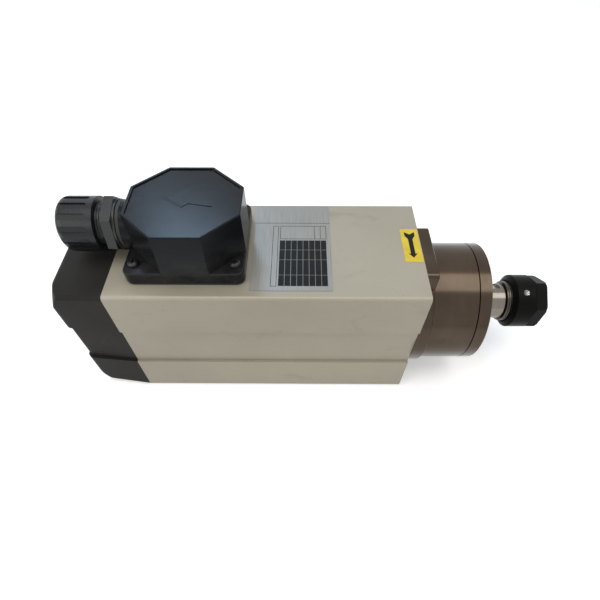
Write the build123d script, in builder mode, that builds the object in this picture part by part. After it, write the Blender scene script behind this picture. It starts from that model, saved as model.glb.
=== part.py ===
from build123d import *

import os
from math import cos, hypot, radians, sin, sqrt, tan

# Air-cooled motor spindle with a collet nose, a fan cowl and a terminal box.
#
# Millimetres. The origin is the centre of the back mounting face, +X points to the tool
# and +Z away from the machine. The spindle turns about a line parallel to X.
os.makedirs("parts", exist_ok=True)

# ---------------------------------------------------------------- driving dimensions
# Motor body: an aluminium extrusion
body_length = 215.6
body_width = 96.8
body_height = 113.0
corner_radius = 2.8
side_band_height = 39.2
side_band_depth = 2.0
stator_bore_radius = 40.0

# Air ducts in the four corners of the body
duct_inner_radius = 44.0
duct_inner_y = 31.0
duct_wall = 4.0
duct_low_z = 22.0
duct_fin_count = 3
duct_fin_thickness = 2.0
duct_fin_gap = 4.0

# Fits and clearances
running_gap = 0.08
seat_gap = 0.1
moving_gap = 0.3
loose_gap = 0.4
labyrinth_gap = 0.5
head_sink = 0.4
screw_end_gap = 2.0
# Cuts run this far past the surface they open
overcut = 1.0

# Mounting holes in the back face, tapped M8
mount_spacing_x = 120.0
mount_spacing_y = 50.0
mount_tap_radius = 3.4
mount_hole_depth = 16.0

# Front flange, a round disc with a lobe above and below for the bolts, and nose
flange_thickness = 9.4
flange_disc_step = 0.4
flange_disc_radius = body_width / 2 - flange_disc_step
lobe_half_width = 25.8
lobe_step = 2.0
lobe_reach = body_height / 2 - lobe_step
lobe_edge_radius = 3.6
nose_radius = 46.0
nose_length = 42.3
cap_thickness = 9.1
seam_chamfer = 0.4
spigot_length = 8.0
flange_bolt_y = 16.0
flange_bolt_inset = 6.8
flange_bolt_z = lobe_reach - flange_bolt_inset
cap_screw_count = 6
cap_screw_circle = 36.0

# Angular-contact bearings: (bore, outside) radii and widths
front_bearing_bore = 15.0
front_bearing_outside = 27.5
front_bearing_width = 13.0
front_ball_radius = 3.5
front_ball_count = 12
front_spacer = 4.0
rear_bearing_bore = 10.0
rear_bearing_outside = 21.0
rear_bearing_width = 12.0
rear_ball_radius = 3.0
rear_ball_count = 10
ball_gap = 0.15
bearing_shoulder = 8.4
locknut_width = 8.0
locknut_radius = 21.0
locknut_room = 3.5
rear_bearing_inset = 1.0

# Shaft
neck_radius = 14.0
head_radius = 15.9
head_start = 76.0
head_length = 20.2
collar_radius = 18.0
collar_length = 3.6
spanner_flat = 24.0
spanner_flat_start = 60.0
spanner_flat_end = 73.0
spanner_flat_angle = 57.0
rotor_seat_radius = 14.0
rotor_step_gap = 4.0
shaft_undercut = 0.2
fan_seat_radius = 6.0
rear_step_radius = 12.5

# Collet, taper 8 degrees a side
collet_bore_radius = 6.0
collet_length = 34.0
collet_front_radius = 10.5
collet_rim_radius = 13.0
collet_rim_width = 0.8
collet_groove_width = 3.0
collet_groove_radius = 11.6
collet_taper = 8.0
collet_nose_angle = 30.0
collet_slit = 0.9
collet_slit_count = 4
collet_body_radius = 12.9
collet_recess = 0.5
socket_relief_depth = 20.0
socket_relief_step = 0.5
socket_end_gap = 2.0

# Collet nut
nut_radius = 21.0
nut_start = 80.0
nut_length = 26.5
nut_back_radius = 17.2
nut_back_chamfer = 2.9
nut_hex_across_flats = 36.4
nut_hex_length = 8.1
nut_hex_turn = 1.0
nut_front_chamfer = 1.2
balance_drill_radius = 2.35
balance_drill_x = 9.0
balance_drill_angle = 114.0
balance_drill_depth = 1.9
balance_drill_point = 0.01
extractor_width = 2.5
ring_front_play = 0.15
ring_rear_play = 0.35

# Stator and rotor
stator_inner_radius = 22.0
stack_start = 76.0
stack_length = 90.0
slot_count = 24
slot_width = 3.4
slot_depth = 11.0
slot_mouth = 1.4
slot_bridge = 1.2
end_turn_length = 20.0
end_turn_radius = 37.0
end_turn_step = 1.4
air_gap = 0.4
rotor_bar_count = 18
rotor_bar_radius = 1.8
rotor_bar_circle = 18.4
rotor_ring_length = 8.0
rotor_ring_cover = 1.1
rotor_ring_step = 0.6

# Rear cowl
cowl_length = 41.2
cowl_width_draft = 7.8
cowl_height_draft = 8.0
cowl_rear_width = body_width - cowl_width_draft
cowl_rear_height = body_height - cowl_height_draft
cowl_edge_radius = 6.0
cowl_sweep_width = 18.8
cowl_sweep_radius = 24.0
cowl_wall = 2.5
cowl_screw_y = 22.0
cowl_screw_inset = 12.5
cowl_screw_z = body_height / 2 - cowl_screw_inset
cowl_seat_gap = 0.7
cowl_seat_sink = 0.2
cowl_boss_radius = 4.6
grille_hub_radius = 8.0
grille_slot_width = 4.6
grille_pitch = 7.2
grille_ring_count = 4
grille_spoke_width = 4.5

# Rear shield and fan
shield_thickness = 14.0
shield_flange = 4.0
shield_flange_radius = 43.8
shield_lug_half_width = 13.0
shield_lug_gap = 1.0
shield_lug_reach = body_height / 2 - cowl_wall - shield_lug_gap
shield_screw_y = 8.0
shield_screw_inset = 4.2
shield_screw_z = shield_lug_reach - shield_screw_inset
shield_bore_gap = 1.0
shield_web = 7.0
spring_height = 1.5
fan_radius = 35.0
fan_disc_thickness = 2.0
fan_blade_height = 13.0
fan_blade_thickness = 1.8
fan_blade_count = 9
fan_blade_bend = (23.1, 2.8)
fan_blade_tip_inset = 2.45
fan_blade_tip_offset = 9.1
fan_blade_root_depth = 1.0
fan_hub_radius = 11.0
fan_hub_length = 20.0
fan_standoff = 7.0
fan_screw_draw = 1.0
fan_washer_inset = 2.0
fan_washer_thickness = 1.2

# Terminal box
gasket_thickness = 2.0
box_length = 79.6
box_width = 73.0
box_centre = 53.6
box_corner_radius = 6.0
ear_height = 9.7
hood_height = 39.2
hood_centre = 55.6
hood_half_length = 37.8
hood_half_width = 36.5
hood_flat_half_length = 15.4
hood_flat_half_width = 14.4
hood_draft = 1.08
hood_wall = 2.8
lid_recess = 0.8
lid_rim = 2.2
hood_edge_radius = 0.8
hood_screw_x = 33.2
hood_screw_y = 27.0
terminal_centre = 62.0
terminal_poles = 3

# Cable gland, M25
gland_lift = 20.1
gland_thread_radius = 12.4
gland_bore_radius = 9.5
gland_boss_radius = 15.8
gland_boss_end = 26.0
gland_washer_radius = 15.9
gland_washer_thickness = 1.9
gland_flange_radius = 16.2
gland_flange_thickness = 1.5
gland_step_radius = 14.8
gland_step = 0.7
gland_hex_length = 6.1
gland_hex_across_flats = 33.0
gland_hex_turn = 16.0
gland_nut_gap = 5.8
gland_nut_length = 25.3
gland_nut_radius = 17.9
gland_nut_thread_radius = 14.2
gland_nut_dome = 6.0
gland_nut_mouth = 9.6
gland_groove_count = 14
gland_groove_width = 4.0
gland_groove_depth = 1.0
gland_groove_turn = 127.1
gland_groove_inset = 3.8
gland_thread_end = 1.5
gland_locknut_width = 4.5
gland_locknut_across_flats = 30.0
gland_seal_bore = 6.5

# Screws: (shank, head) radii and head heights
m5_shank, m5_head, m5_head_height = 2.5, 4.25, 5.0
m4_shank, m4_head, m4_head_height = 2.0, 3.5, 4.0
pan_head, pan_head_height = 3.8, 2.7
m4_clearance = 2.25
m5_clearance = 2.75
socket_depth = 2.2
socket_share = 0.62
pan_round = 0.75
cross_length = 4.4
cross_width = 1.0
cross_depth = 1.5

# ---------------------------------------------------------------- places worked out
axis_height = body_height / 2
rear_x = -body_length / 2
front_x = body_length / 2
nose_front = front_x + nose_length
cap_front = nose_front + cap_thickness
spindle_axis = Axis((0, 0, axis_height), (1, 0, 0))
lengthwise = Plane(origin=(0, 0, axis_height), x_dir=(1, 0, 0), z_dir=(0, -1, 0))
gland_height = body_height + gland_lift
gland_axis = Axis((0, 0, gland_height), (1, 0, 0))
gland_plane = Plane(origin=(0, 0, gland_height), x_dir=(1, 0, 0), z_dir=(0, -1, 0))


def across(x, height=axis_height):
    """The plane square to the spindle at x, with +Y to the right and +Z up."""
    return Plane(origin=(x, 0, height), x_dir=(0, 1, 0), z_dir=(1, 0, 0))


def radial(angle):
    """The plane through the spindle axis whose upward direction is at this angle from +Y."""
    return Plane(
        origin=(0, 0, axis_height),
        x_dir=(1, 0, 0),
        z_dir=(0, -sin(radians(angle)), cos(radians(angle))),
    )


def half_section(points, plane=lengthwise):
    """A closed outline of (x, radius) points, ready to revolve."""
    with BuildSketch(plane) as section:
        with BuildLine():
            Polyline(*points, close=True)
        make_face()
    return section.sketch


def ring_section(start, end, inner, outer, plane=lengthwise):
    """The half section of a plain ring."""
    return half_section([(start, inner), (end, inner), (end, outer), (start, outer)], plane)


def backward(x):
    """The plane square to the spindle at x, facing the rear."""
    return Plane(origin=(x, 0, axis_height), x_dir=(0, -1, 0), z_dir=(-1, 0, 0))


def socket_screw(shank, head, head_height, length):
    """A socket-head screw, its head towards +Z and the underside of the head at the origin."""
    with BuildPart() as screw:
        Cylinder(head, head_height, align=(Align.CENTER, Align.CENTER, Align.MIN))
        Cylinder(shank, length, align=(Align.CENTER, Align.CENTER, Align.MAX))
        with BuildSketch(Plane.XY.offset(head_height)) as socket:
            RegularPolygon(head * socket_share, 6)
        extrude(amount=-socket_depth, mode=Mode.SUBTRACT)
    return screw.part


def pan_screw(length):
    """A cross-recessed pan-head M4 screw, placed as the socket screw is."""
    with BuildPart() as screw:
        Cylinder(pan_head, pan_head_height, align=(Align.CENTER, Align.CENTER, Align.MIN))
        fillet(screw.edges().group_by(Axis.Z)[-1], pan_head_height * pan_round)
        Cylinder(m4_shank, length, align=(Align.CENTER, Align.CENTER, Align.MAX))
        with BuildSketch(Plane.XY.offset(pan_head_height)) as recess:
            Rectangle(cross_length, cross_width)
            Rectangle(cross_width, cross_length)
        extrude(amount=-cross_depth, mode=Mode.SUBTRACT)
    return screw.part


def race_section(start, width, inner, outer, pitch, groove):
    """The half section of a bearing race, its ball groove centred on the pitch circle."""
    with BuildSketch(lengthwise) as section:
        with Locations((start + width / 2, (inner + outer) / 2)):
            Rectangle(width, outer - inner)
        with Locations((start + width / 2, pitch)):
            Circle(groove, mode=Mode.SUBTRACT)
    return section.sketch


def octagon(half_length, half_width, flat_half_length, flat_half_width):
    """The hood's octagon, its sides in the order of travel from the +X side."""
    corners = [
        (half_length, -flat_half_width),
        (half_length, flat_half_width),
        (flat_half_length, half_width),
        (-flat_half_length, half_width),
        (-half_length, flat_half_width),
        (-half_length, -flat_half_width),
        (-flat_half_length, -half_width),
        (flat_half_length, -half_width),
    ]
    with BuildSketch() as outline:
        with BuildLine():
            Polyline(*corners, close=True)
        make_face()
    return outline.sketch


def save(piece, name):
    """Name a finished piece and write it."""
    piece.part.label = name
    export_step(piece.part, f"parts/{name}.step")


# ---------------------------------------------------------------- motor body
duct_outer_y = body_width / 2 - duct_wall
duct_outer_z = body_height / 2 - duct_wall
duct_centre = ((duct_inner_y + duct_outer_y) / 2, (duct_low_z + duct_outer_z) / 2)
duct_size = (duct_outer_y - duct_inner_y, duct_outer_z - duct_low_z)
fin_reach = duct_size[0] - duct_fin_gap
fin_pitch = duct_size[1] / (duct_fin_count + 1)
fin_places = [
    (side * (duct_inner_y + fin_reach / 2), half * (duct_low_z + fin_pitch * (row + 1)))
    for side in (-1, 1)
    for half in (-1, 1)
    for row in range(duct_fin_count)
]
flange_bolt_depth = 14.0
cowl_thread_depth = 12.0
shield_thread_depth = 10.0
top_thread_depth = 9.0
lead_hole_radius = 7.0
terminal_screw_y = 19.0
earth_screw_x, earth_screw_y = 38.0, 22.0
lead_x = rear_x + terminal_centre

with BuildPart() as motor_body:
    with BuildSketch(across(rear_x)) as section:
        RectangleRounded(body_width, body_height, corner_radius)
        with GridLocations(body_width - side_band_depth, 0, 2, 1):
            Rectangle(side_band_depth, side_band_height, mode=Mode.SUBTRACT)
        Circle(stator_bore_radius, mode=Mode.SUBTRACT)
    extrude(amount=body_length)
    with BuildSketch(across(rear_x)) as ducts:
        with GridLocations(2 * duct_centre[0], 2 * duct_centre[1], 2, 2):
            Rectangle(*duct_size)
        with Locations(*fin_places):
            Rectangle(fin_reach, duct_fin_thickness, mode=Mode.SUBTRACT)
        Circle(duct_inner_radius, mode=Mode.SUBTRACT)
    extrude(amount=body_length, mode=Mode.SUBTRACT)
    with BuildSketch(Plane.XY) as mounting:
        with GridLocations(mount_spacing_x, mount_spacing_y, 2, 2):
            Circle(mount_tap_radius)
    extrude(amount=mount_hole_depth, mode=Mode.SUBTRACT)
    with BuildSketch(across(front_x)) as flange_threads:
        with GridLocations(2 * flange_bolt_y, 2 * flange_bolt_z, 2, 2):
            Circle(m5_shank)
    extrude(amount=-flange_bolt_depth, mode=Mode.SUBTRACT)
    with BuildSketch(across(rear_x)) as cowl_threads:
        with GridLocations(2 * cowl_screw_y, 2 * cowl_screw_z, 2, 2):
            Circle(m4_shank)
    extrude(amount=cowl_thread_depth, mode=Mode.SUBTRACT)
    with BuildSketch(across(rear_x)) as shield_threads:
        with GridLocations(2 * shield_screw_y, 2 * shield_screw_z, 2, 2):
            Circle(m4_shank)
    extrude(amount=shield_thread_depth, mode=Mode.SUBTRACT)
    with BuildSketch(Plane.XY.offset(body_height)) as hood_threads:
        with Locations((rear_x + box_centre, 0)):
            with GridLocations(2 * hood_screw_x, 2 * hood_screw_y, 2, 2):
                Circle(m4_shank)
        with Locations((lead_x, -terminal_screw_y), (lead_x, terminal_screw_y)):
            Circle(m4_shank)
        with Locations((rear_x + earth_screw_x, earth_screw_y)):
            Circle(m4_shank)
    extrude(amount=-top_thread_depth, mode=Mode.SUBTRACT)
    with BuildSketch(Plane.XY.offset(body_height)) as lead_hole:
        with Locations((lead_x, 0)):
            Circle(lead_hole_radius)
    extrude(amount=-axis_height, mode=Mode.SUBTRACT)
save(motor_body, "motor_body")

# ---------------------------------------------------------------- rear cowl
cowl_rear = rear_x - cowl_length
inner_half_width = body_width / 2 - side_band_depth - cowl_wall
inner_half_height = body_height / 2 - cowl_wall
rear_inner_width = cowl_rear_width - 2 * (side_band_depth + cowl_wall)
rear_inner_height = cowl_rear_height - 2 * cowl_wall
seat_radius = m4_head + cowl_seat_gap
seat_depth = m4_head_height + cowl_seat_sink
cowl_reach = hypot(cowl_rear_width, cowl_rear_height) / 2
sweep_start = cowl_reach - cowl_sweep_width


def corner_sweep(wall):
    """The half section of what is turned off the rear corners, this far inside the skin."""
    sweep_end = sweep_start + cowl_sweep_radius - wall
    with BuildSketch(lengthwise) as section:
        with BuildLine():
            sweep = RadiusArc(
                (cowl_rear + wall, sweep_start),
                (cowl_rear + cowl_sweep_radius, sweep_end),
                cowl_sweep_radius - wall,
            )
            Polyline(
                sweep @ 1,
                (cowl_rear - overcut, sweep_end),
                (cowl_rear - overcut, sweep_start),
                sweep @ 0,
            )
        make_face()
    return section.sketch


with BuildPart() as cowl_hollow:
    with BuildSketch(across(rear_x)) as mouth:
        Rectangle(2 * inner_half_width, 2 * inner_half_height)
    with BuildSketch(across(cowl_rear + cowl_wall)) as floor:
        Rectangle(rear_inner_width, rear_inner_height)
    loft()
    revolve(corner_sweep(cowl_wall), axis=spindle_axis, mode=Mode.SUBTRACT)

with BuildPart() as rear_cowl:
    with BuildSketch(across(rear_x)) as seam_outline:
        Rectangle(body_width, body_height)
    with BuildSketch(across(cowl_rear)) as rear_outline:
        Rectangle(cowl_rear_width, cowl_rear_height)
    loft()
    fillet(rear_cowl.faces().sort_by(Axis.X)[0].edges(), cowl_edge_radius)
    corner_y = cowl_rear_width / 2 - cowl_edge_radius
    corner_z = cowl_rear_height / 2 - cowl_edge_radius
    corner_edges = rear_cowl.edges().filter_by(
        lambda edge: abs(edge.center().Y) > corner_y
        and abs(edge.center().Z - axis_height) > corner_z
    )
    fillet(corner_edges, corner_radius)
    revolve(corner_sweep(0), axis=spindle_axis, mode=Mode.SUBTRACT)
    # The side bands run on from the body and round the rear edge
    for side in (-1, 1):
        band_front = body_width / 2 - side_band_depth
        band_rear = cowl_rear_width / 2 - side_band_depth
        with BuildSketch(Plane.XY.offset(axis_height - side_band_height / 2)) as band:
            with BuildLine():
                wall_line = Line(
                    (rear_x, side * band_front), (cowl_rear + cowl_edge_radius, side * band_rear)
                )
                corner = RadiusArc(
                    wall_line @ 1,
                    (cowl_rear, side * (band_rear - cowl_edge_radius)),
                    -side * cowl_edge_radius,
                )
                Polyline(
                    corner @ 1,
                    (cowl_rear - overcut, side * (band_rear - cowl_edge_radius)),
                    (cowl_rear - overcut, side * body_width),
                    (rear_x, side * body_width),
                    (rear_x, side * band_front),
                )
            make_face()
        extrude(amount=side_band_height, mode=Mode.SUBTRACT)
    # Hollow, open towards the motor
    add(cowl_hollow.part, mode=Mode.SUBTRACT)
    # Screw bosses stand between the rear wall and the body
    with BuildSketch(across(rear_x)) as bosses:
        with GridLocations(2 * cowl_screw_y, 2 * cowl_screw_z, 2, 2):
            Circle(cowl_boss_radius)
    extrude(amount=-(cowl_length - cowl_wall / 2))
    with BuildSketch(across(rear_x)) as screw_holes:
        with GridLocations(2 * cowl_screw_y, 2 * cowl_screw_z, 2, 2):
            Circle(m4_clearance)
    extrude(amount=-cowl_length, mode=Mode.SUBTRACT)
    with BuildSketch(across(cowl_rear)) as screw_seats:
        with GridLocations(2 * cowl_screw_y, 2 * cowl_screw_z, 2, 2):
            Circle(seat_radius)
    extrude(amount=seat_depth, mode=Mode.SUBTRACT)
    # Inlet grille: rings of arc slots between four spokes
    with BuildSketch(across(cowl_rear)) as grille:
        for ring in reversed(range(grille_ring_count)):
            slot_inner = grille_hub_radius + ring * grille_pitch
            Circle(slot_inner + grille_slot_width)
            Circle(slot_inner, mode=Mode.SUBTRACT)
        for turn in (-45, 45):
            Rectangle(body_width, grille_spoke_width, rotation=turn, mode=Mode.SUBTRACT)
    extrude(amount=cowl_wall, mode=Mode.SUBTRACT)
save(rear_cowl, "rear_cowl")

cowl_screw = socket_screw(
    m4_shank, m4_head, m4_head_height, cowl_length - seat_depth + cowl_thread_depth - screw_end_gap
)
with BuildPart() as cowl_screws:
    with Locations(backward(cowl_rear + seat_depth)):
        with GridLocations(2 * cowl_screw_y, 2 * cowl_screw_z, 2, 2):
            add(cowl_screw)
save(cowl_screws, "cowl_screws")

# ---------------------------------------------------------------- front flange and nose
bearing_start = front_x + bearing_shoulder
spacer_start = bearing_start + front_bearing_width
second_bearing_start = spacer_start + front_spacer
bearing_end = second_bearing_start + front_bearing_width
flange_bore_radius = locknut_radius + locknut_room
flange_front = front_x + flange_thickness
bolt_seat_gap = 0.15
bolt_seat_radius = m5_head + bolt_seat_gap
bolt_seat_depth = m5_head_height + head_sink
cap_thread_depth = 12.0

with BuildPart() as front_flange:
    with BuildSketch(across(front_x)) as lobes:
        Rectangle(2 * lobe_half_width, 2 * lobe_reach)
        fillet(lobes.vertices(), lobe_edge_radius)
        Circle(flange_disc_radius)
    extrude(amount=flange_thickness)
    flange_rim = front_flange.faces().sort_by(Axis.X)[-1].edges()
    chamfer(flange_rim, seam_chamfer)
    nose_outline = half_section(
        [
            (flange_front, 0),
            (flange_front, nose_radius - seam_chamfer),
            (flange_front + seam_chamfer, nose_radius),
            (nose_front - seam_chamfer, nose_radius),
            (nose_front, nose_radius - seam_chamfer),
            (nose_front, 0),
        ]
    )
    revolve(nose_outline, axis=spindle_axis)
    revolve(
        ring_section(front_x - spigot_length, front_x, 0, stator_bore_radius), axis=spindle_axis
    )
    bearing_bore = half_section(
        [
            (front_x - spigot_length, 0),
            (front_x - spigot_length, flange_bore_radius),
            (bearing_start, flange_bore_radius),
            (bearing_start, front_bearing_outside),
            (nose_front, front_bearing_outside),
            (nose_front, 0),
        ]
    )
    revolve(bearing_bore, axis=spindle_axis, mode=Mode.SUBTRACT)
    with BuildSketch(across(flange_front)) as bolt_holes:
        with GridLocations(2 * flange_bolt_y, 2 * flange_bolt_z, 2, 2):
            Circle(m5_clearance)
    extrude(amount=-flange_thickness, mode=Mode.SUBTRACT)
    with BuildSketch(across(flange_front)) as bolt_seats:
        with GridLocations(2 * flange_bolt_y, 2 * flange_bolt_z, 2, 2):
            Circle(bolt_seat_radius)
    extrude(amount=-bolt_seat_depth, mode=Mode.SUBTRACT)
    with BuildSketch(across(nose_front)) as cap_threads:
        with PolarLocations(cap_screw_circle, cap_screw_count):
            Circle(m4_shank)
    extrude(amount=-cap_thread_depth, mode=Mode.SUBTRACT)
save(front_flange, "front_flange")

flange_bolt = socket_screw(
    m5_shank,
    m5_head,
    m5_head_height,
    flange_thickness - bolt_seat_depth + flange_bolt_depth - screw_end_gap,
)
with BuildPart() as flange_bolts:
    with Locations(across(flange_front - bolt_seat_depth)):
        with GridLocations(2 * flange_bolt_y, 2 * flange_bolt_z, 2, 2):
            add(flange_bolt)
save(flange_bolts, "flange_bolts")

# ---------------------------------------------------------------- nose cap
race_wall = 3.7
collar_end = bearing_end + collar_length
slinger_radius = 18.6
cap_lip = 4.4
cap_seat_radius = m4_head + loose_gap
cap_seat_depth = m4_head_height + head_sink
cap_edge = 0.6

with BuildPart() as nose_cap:
    cap_outline = half_section(
        [
            (bearing_end, front_bearing_outside - race_wall),
            (bearing_end, front_bearing_outside),
            (nose_front, front_bearing_outside),
            (nose_front, nose_radius - seam_chamfer),
            (nose_front + seam_chamfer, nose_radius),
            (cap_front - cap_edge, nose_radius),
            (cap_front, nose_radius - cap_edge),
            (cap_front, neck_radius + loose_gap),
            (cap_front - cap_lip, neck_radius + loose_gap),
            (cap_front - cap_lip, slinger_radius + labyrinth_gap),
            (nose_front, slinger_radius + labyrinth_gap),
            (nose_front, front_bearing_outside - race_wall),
        ]
    )
    revolve(cap_outline, axis=spindle_axis)
    with BuildSketch(across(cap_front)) as cap_holes:
        with PolarLocations(cap_screw_circle, cap_screw_count):
            Circle(m4_clearance)
    extrude(amount=-cap_thickness, mode=Mode.SUBTRACT)
    with BuildSketch(across(cap_front)) as cap_seats:
        with PolarLocations(cap_screw_circle, cap_screw_count):
            Circle(cap_seat_radius)
    extrude(amount=-cap_seat_depth, mode=Mode.SUBTRACT)
save(nose_cap, "nose_cap")

cap_screw = socket_screw(
    m4_shank,
    m4_head,
    m4_head_height,
    cap_thickness - cap_seat_depth + cap_thread_depth - screw_end_gap,
)
with BuildPart() as cap_screws:
    with Locations(across(cap_front - cap_seat_depth)):
        with PolarLocations(cap_screw_circle, cap_screw_count):
            add(cap_screw)
save(cap_screws, "cap_screws")

# ---------------------------------------------------------------- bearings
cage_wall = 1.8
cage_share = 0.7
race_gap = 1.0


def make_bearing(name, start, width, bore, outside, ball_radius, ball_count):
    """Write a ball bearing as an outer race, an inner race and its caged balls."""
    pitch = (bore + outside) / 2
    groove = ball_radius + ball_gap
    middle = start + width / 2
    cage_half_width = width * cage_share / 2
    with BuildPart() as outer_race:
        revolve(
            race_section(start, width, pitch + cage_wall / 2 + race_gap, outside, pitch, groove),
            axis=spindle_axis,
        )
    save(outer_race, f"{name}_outer_race")
    with BuildPart() as inner_race:
        revolve(
            race_section(start, width, bore, pitch - cage_wall / 2 - race_gap, pitch, groove),
            axis=spindle_axis,
        )
    save(inner_race, f"{name}_inner_race")
    with BuildPart() as ball_set:
        cage = ring_section(
            middle - cage_half_width,
            middle + cage_half_width,
            pitch - cage_wall / 2,
            pitch + cage_wall / 2,
        )
        revolve(cage, axis=spindle_axis)
        with Locations(across(middle)):
            with PolarLocations(pitch, ball_count):
                Sphere(ball_radius)
    save(ball_set, f"{name}_balls")


rear_bearing_x = rear_x + rear_bearing_inset
rear_bearing_end = rear_bearing_x + rear_bearing_width
front_bearing = (
    front_bearing_width,
    front_bearing_bore,
    front_bearing_outside,
    front_ball_radius,
    front_ball_count,
)
make_bearing("front_bearing", second_bearing_start, *front_bearing)
make_bearing("second_bearing", bearing_start, *front_bearing)
make_bearing(
    "rear_bearing",
    rear_bearing_x,
    rear_bearing_width,
    rear_bearing_bore,
    rear_bearing_outside,
    rear_ball_radius,
    rear_ball_count,
)

with BuildPart() as outer_spacer:
    revolve(
        ring_section(
            spacer_start,
            second_bearing_start,
            front_bearing_outside - race_wall,
            front_bearing_outside,
        ),
        axis=spindle_axis,
    )
save(outer_spacer, "outer_spacer")

with BuildPart() as inner_spacer:
    revolve(
        ring_section(
            spacer_start,
            second_bearing_start,
            front_bearing_bore,
            front_bearing_bore + race_wall,
        ),
        axis=spindle_axis,
    )
save(inner_spacer, "inner_spacer")

locknut_start = bearing_start - locknut_width
locknut_slot_width = 5.0
locknut_slot_depth = 2.4
with BuildPart() as bearing_locknut:
    revolve(
        ring_section(locknut_start, bearing_start, front_bearing_bore, locknut_radius),
        axis=spindle_axis,
    )
    with BuildSketch(across(locknut_start)) as locknut_slots:
        with PolarLocations(locknut_radius, 4):
            Rectangle(2 * locknut_slot_depth, locknut_slot_width)
    extrude(amount=locknut_width, mode=Mode.SUBTRACT)
save(bearing_locknut, "bearing_locknut")

with BuildPart() as slinger:
    revolve(
        ring_section(
            collar_end, cap_front - cap_lip - labyrinth_gap, neck_radius, slinger_radius
        ),
        axis=spindle_axis,
    )
save(slinger, "slinger")

# ---------------------------------------------------------------- shaft
head_x = front_x + head_start
shaft_end = head_x + head_length
nut_front = front_x + nut_start + nut_length
collet_front = nut_front - collet_recess
collet_rear = collet_front - collet_length
nose_cone_length = (collet_rim_radius - collet_front_radius) / tan(radians(collet_nose_angle))
groove_front = collet_front - nose_cone_length - collet_rim_width
taper_front = groove_front - collet_groove_width
taper_slope = tan(radians(collet_taper))


def collet_radius(x):
    """The radius of the collet's taper at x."""
    return collet_body_radius - (taper_front - x) * taper_slope


socket_gap = running_gap / cos(radians(collet_taper))
socket_bottom = collet_rear - socket_end_gap
relief_end = socket_bottom - socket_relief_depth
relief_radius = collet_radius(socket_bottom) - socket_relief_step
stack_x = rear_x + stack_start
stack_end = stack_x + stack_length
fan_front = rear_x - fan_standoff
fan_rear = fan_front - fan_hub_length
shaft_rear = fan_rear + fan_screw_draw
fan_screw_length = 12.0
head_chamfer = 0.8

with BuildPart() as shaft:
    shaft_outline = half_section(
        [
            (shaft_rear, 0),
            (shaft_rear, fan_seat_radius),
            (fan_front, fan_seat_radius),
            (fan_front, rear_bearing_bore),
            (rear_bearing_end, rear_bearing_bore),
            (rear_bearing_end, rear_step_radius),
            (stack_x - rotor_ring_length - rotor_step_gap, rear_step_radius),
            (stack_x - rotor_ring_length - rotor_step_gap, rotor_seat_radius),
            (stack_end, rotor_seat_radius),
            (stack_end, front_bearing_bore - shaft_undercut),
            (locknut_start, front_bearing_bore - shaft_undercut),
            (locknut_start, front_bearing_bore),
            (bearing_end, front_bearing_bore),
            (bearing_end, collar_radius),
            (collar_end, collar_radius),
            (collar_end, neck_radius),
            (head_x, neck_radius),
            (head_x + head_chamfer, head_radius),
            (shaft_end - head_chamfer, head_radius),
            (shaft_end, head_radius - head_chamfer),
            (shaft_end, collet_radius(shaft_end) + socket_gap),
            (socket_bottom, collet_radius(socket_bottom) + socket_gap),
            (socket_bottom, relief_radius),
            (relief_end, relief_radius),
            (relief_end, 0),
        ]
    )
    revolve(shaft_outline, axis=spindle_axis)
    flat_middle = front_x + (spanner_flat_start + spanner_flat_end) / 2
    with BuildSketch(radial(spanner_flat_angle)) as spanner_flats:
        with GridLocations(0, spanner_flat + neck_radius, 1, 2):
            with Locations((flat_middle, 0)):
                Rectangle(spanner_flat_end - spanner_flat_start, neck_radius)
    extrude(amount=neck_radius, both=True, mode=Mode.SUBTRACT)
    with BuildSketch(across(shaft_rear)) as fan_thread:
        Circle(m5_shank)
    extrude(amount=fan_screw_length + screw_end_gap, mode=Mode.SUBTRACT)
save(shaft, "shaft")

# ---------------------------------------------------------------- rotor
rotor_radius = stator_inner_radius - air_gap
ring_inner = rotor_bar_circle - rotor_bar_radius - rotor_ring_cover
ring_outer = rotor_radius - rotor_ring_step

with BuildPart() as rotor_core:
    revolve(ring_section(stack_x, stack_end, rotor_seat_radius, rotor_radius), axis=spindle_axis)
    with BuildSketch(across(stack_x)) as bar_holes:
        with PolarLocations(rotor_bar_circle, rotor_bar_count):
            Circle(rotor_bar_radius)
    extrude(amount=stack_length, mode=Mode.SUBTRACT)
save(rotor_core, "rotor_core")

with BuildPart() as rotor_cage:
    for ring_start in (stack_x - rotor_ring_length, stack_end):
        revolve(
            ring_section(ring_start, ring_start + rotor_ring_length, ring_inner, ring_outer),
            axis=spindle_axis,
        )
    with BuildSketch(across(stack_x)) as bars:
        with PolarLocations(rotor_bar_circle, rotor_bar_count):
            Circle(rotor_bar_radius)
    extrude(amount=stack_length)
save(rotor_cage, "rotor_cage")

# ---------------------------------------------------------------- stator
slot_bottom = stator_inner_radius + slot_bridge
slot_middle = slot_bottom + slot_depth / 2
end_turn_inner = stator_inner_radius + end_turn_step
end_turn_round = 5.0


def stator_slots(x):
    """The stator's slots at x, each rounded at both ends."""
    with BuildSketch(across(x)) as pattern:
        with PolarLocations(slot_middle, slot_count):
            SlotOverall(slot_depth, slot_width)
    return pattern.sketch


with BuildPart() as stator_core:
    revolve(
        ring_section(stack_x, stack_end, stator_inner_radius, stator_bore_radius),
        axis=spindle_axis,
    )
    extrude(stator_slots(stack_x), amount=stack_length, mode=Mode.SUBTRACT)
    with BuildSketch(across(stack_x)) as mouths:
        with PolarLocations(slot_bottom, slot_count):
            Rectangle(slot_width, slot_mouth)
    extrude(amount=stack_length, mode=Mode.SUBTRACT)
save(stator_core, "stator_core")

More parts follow.
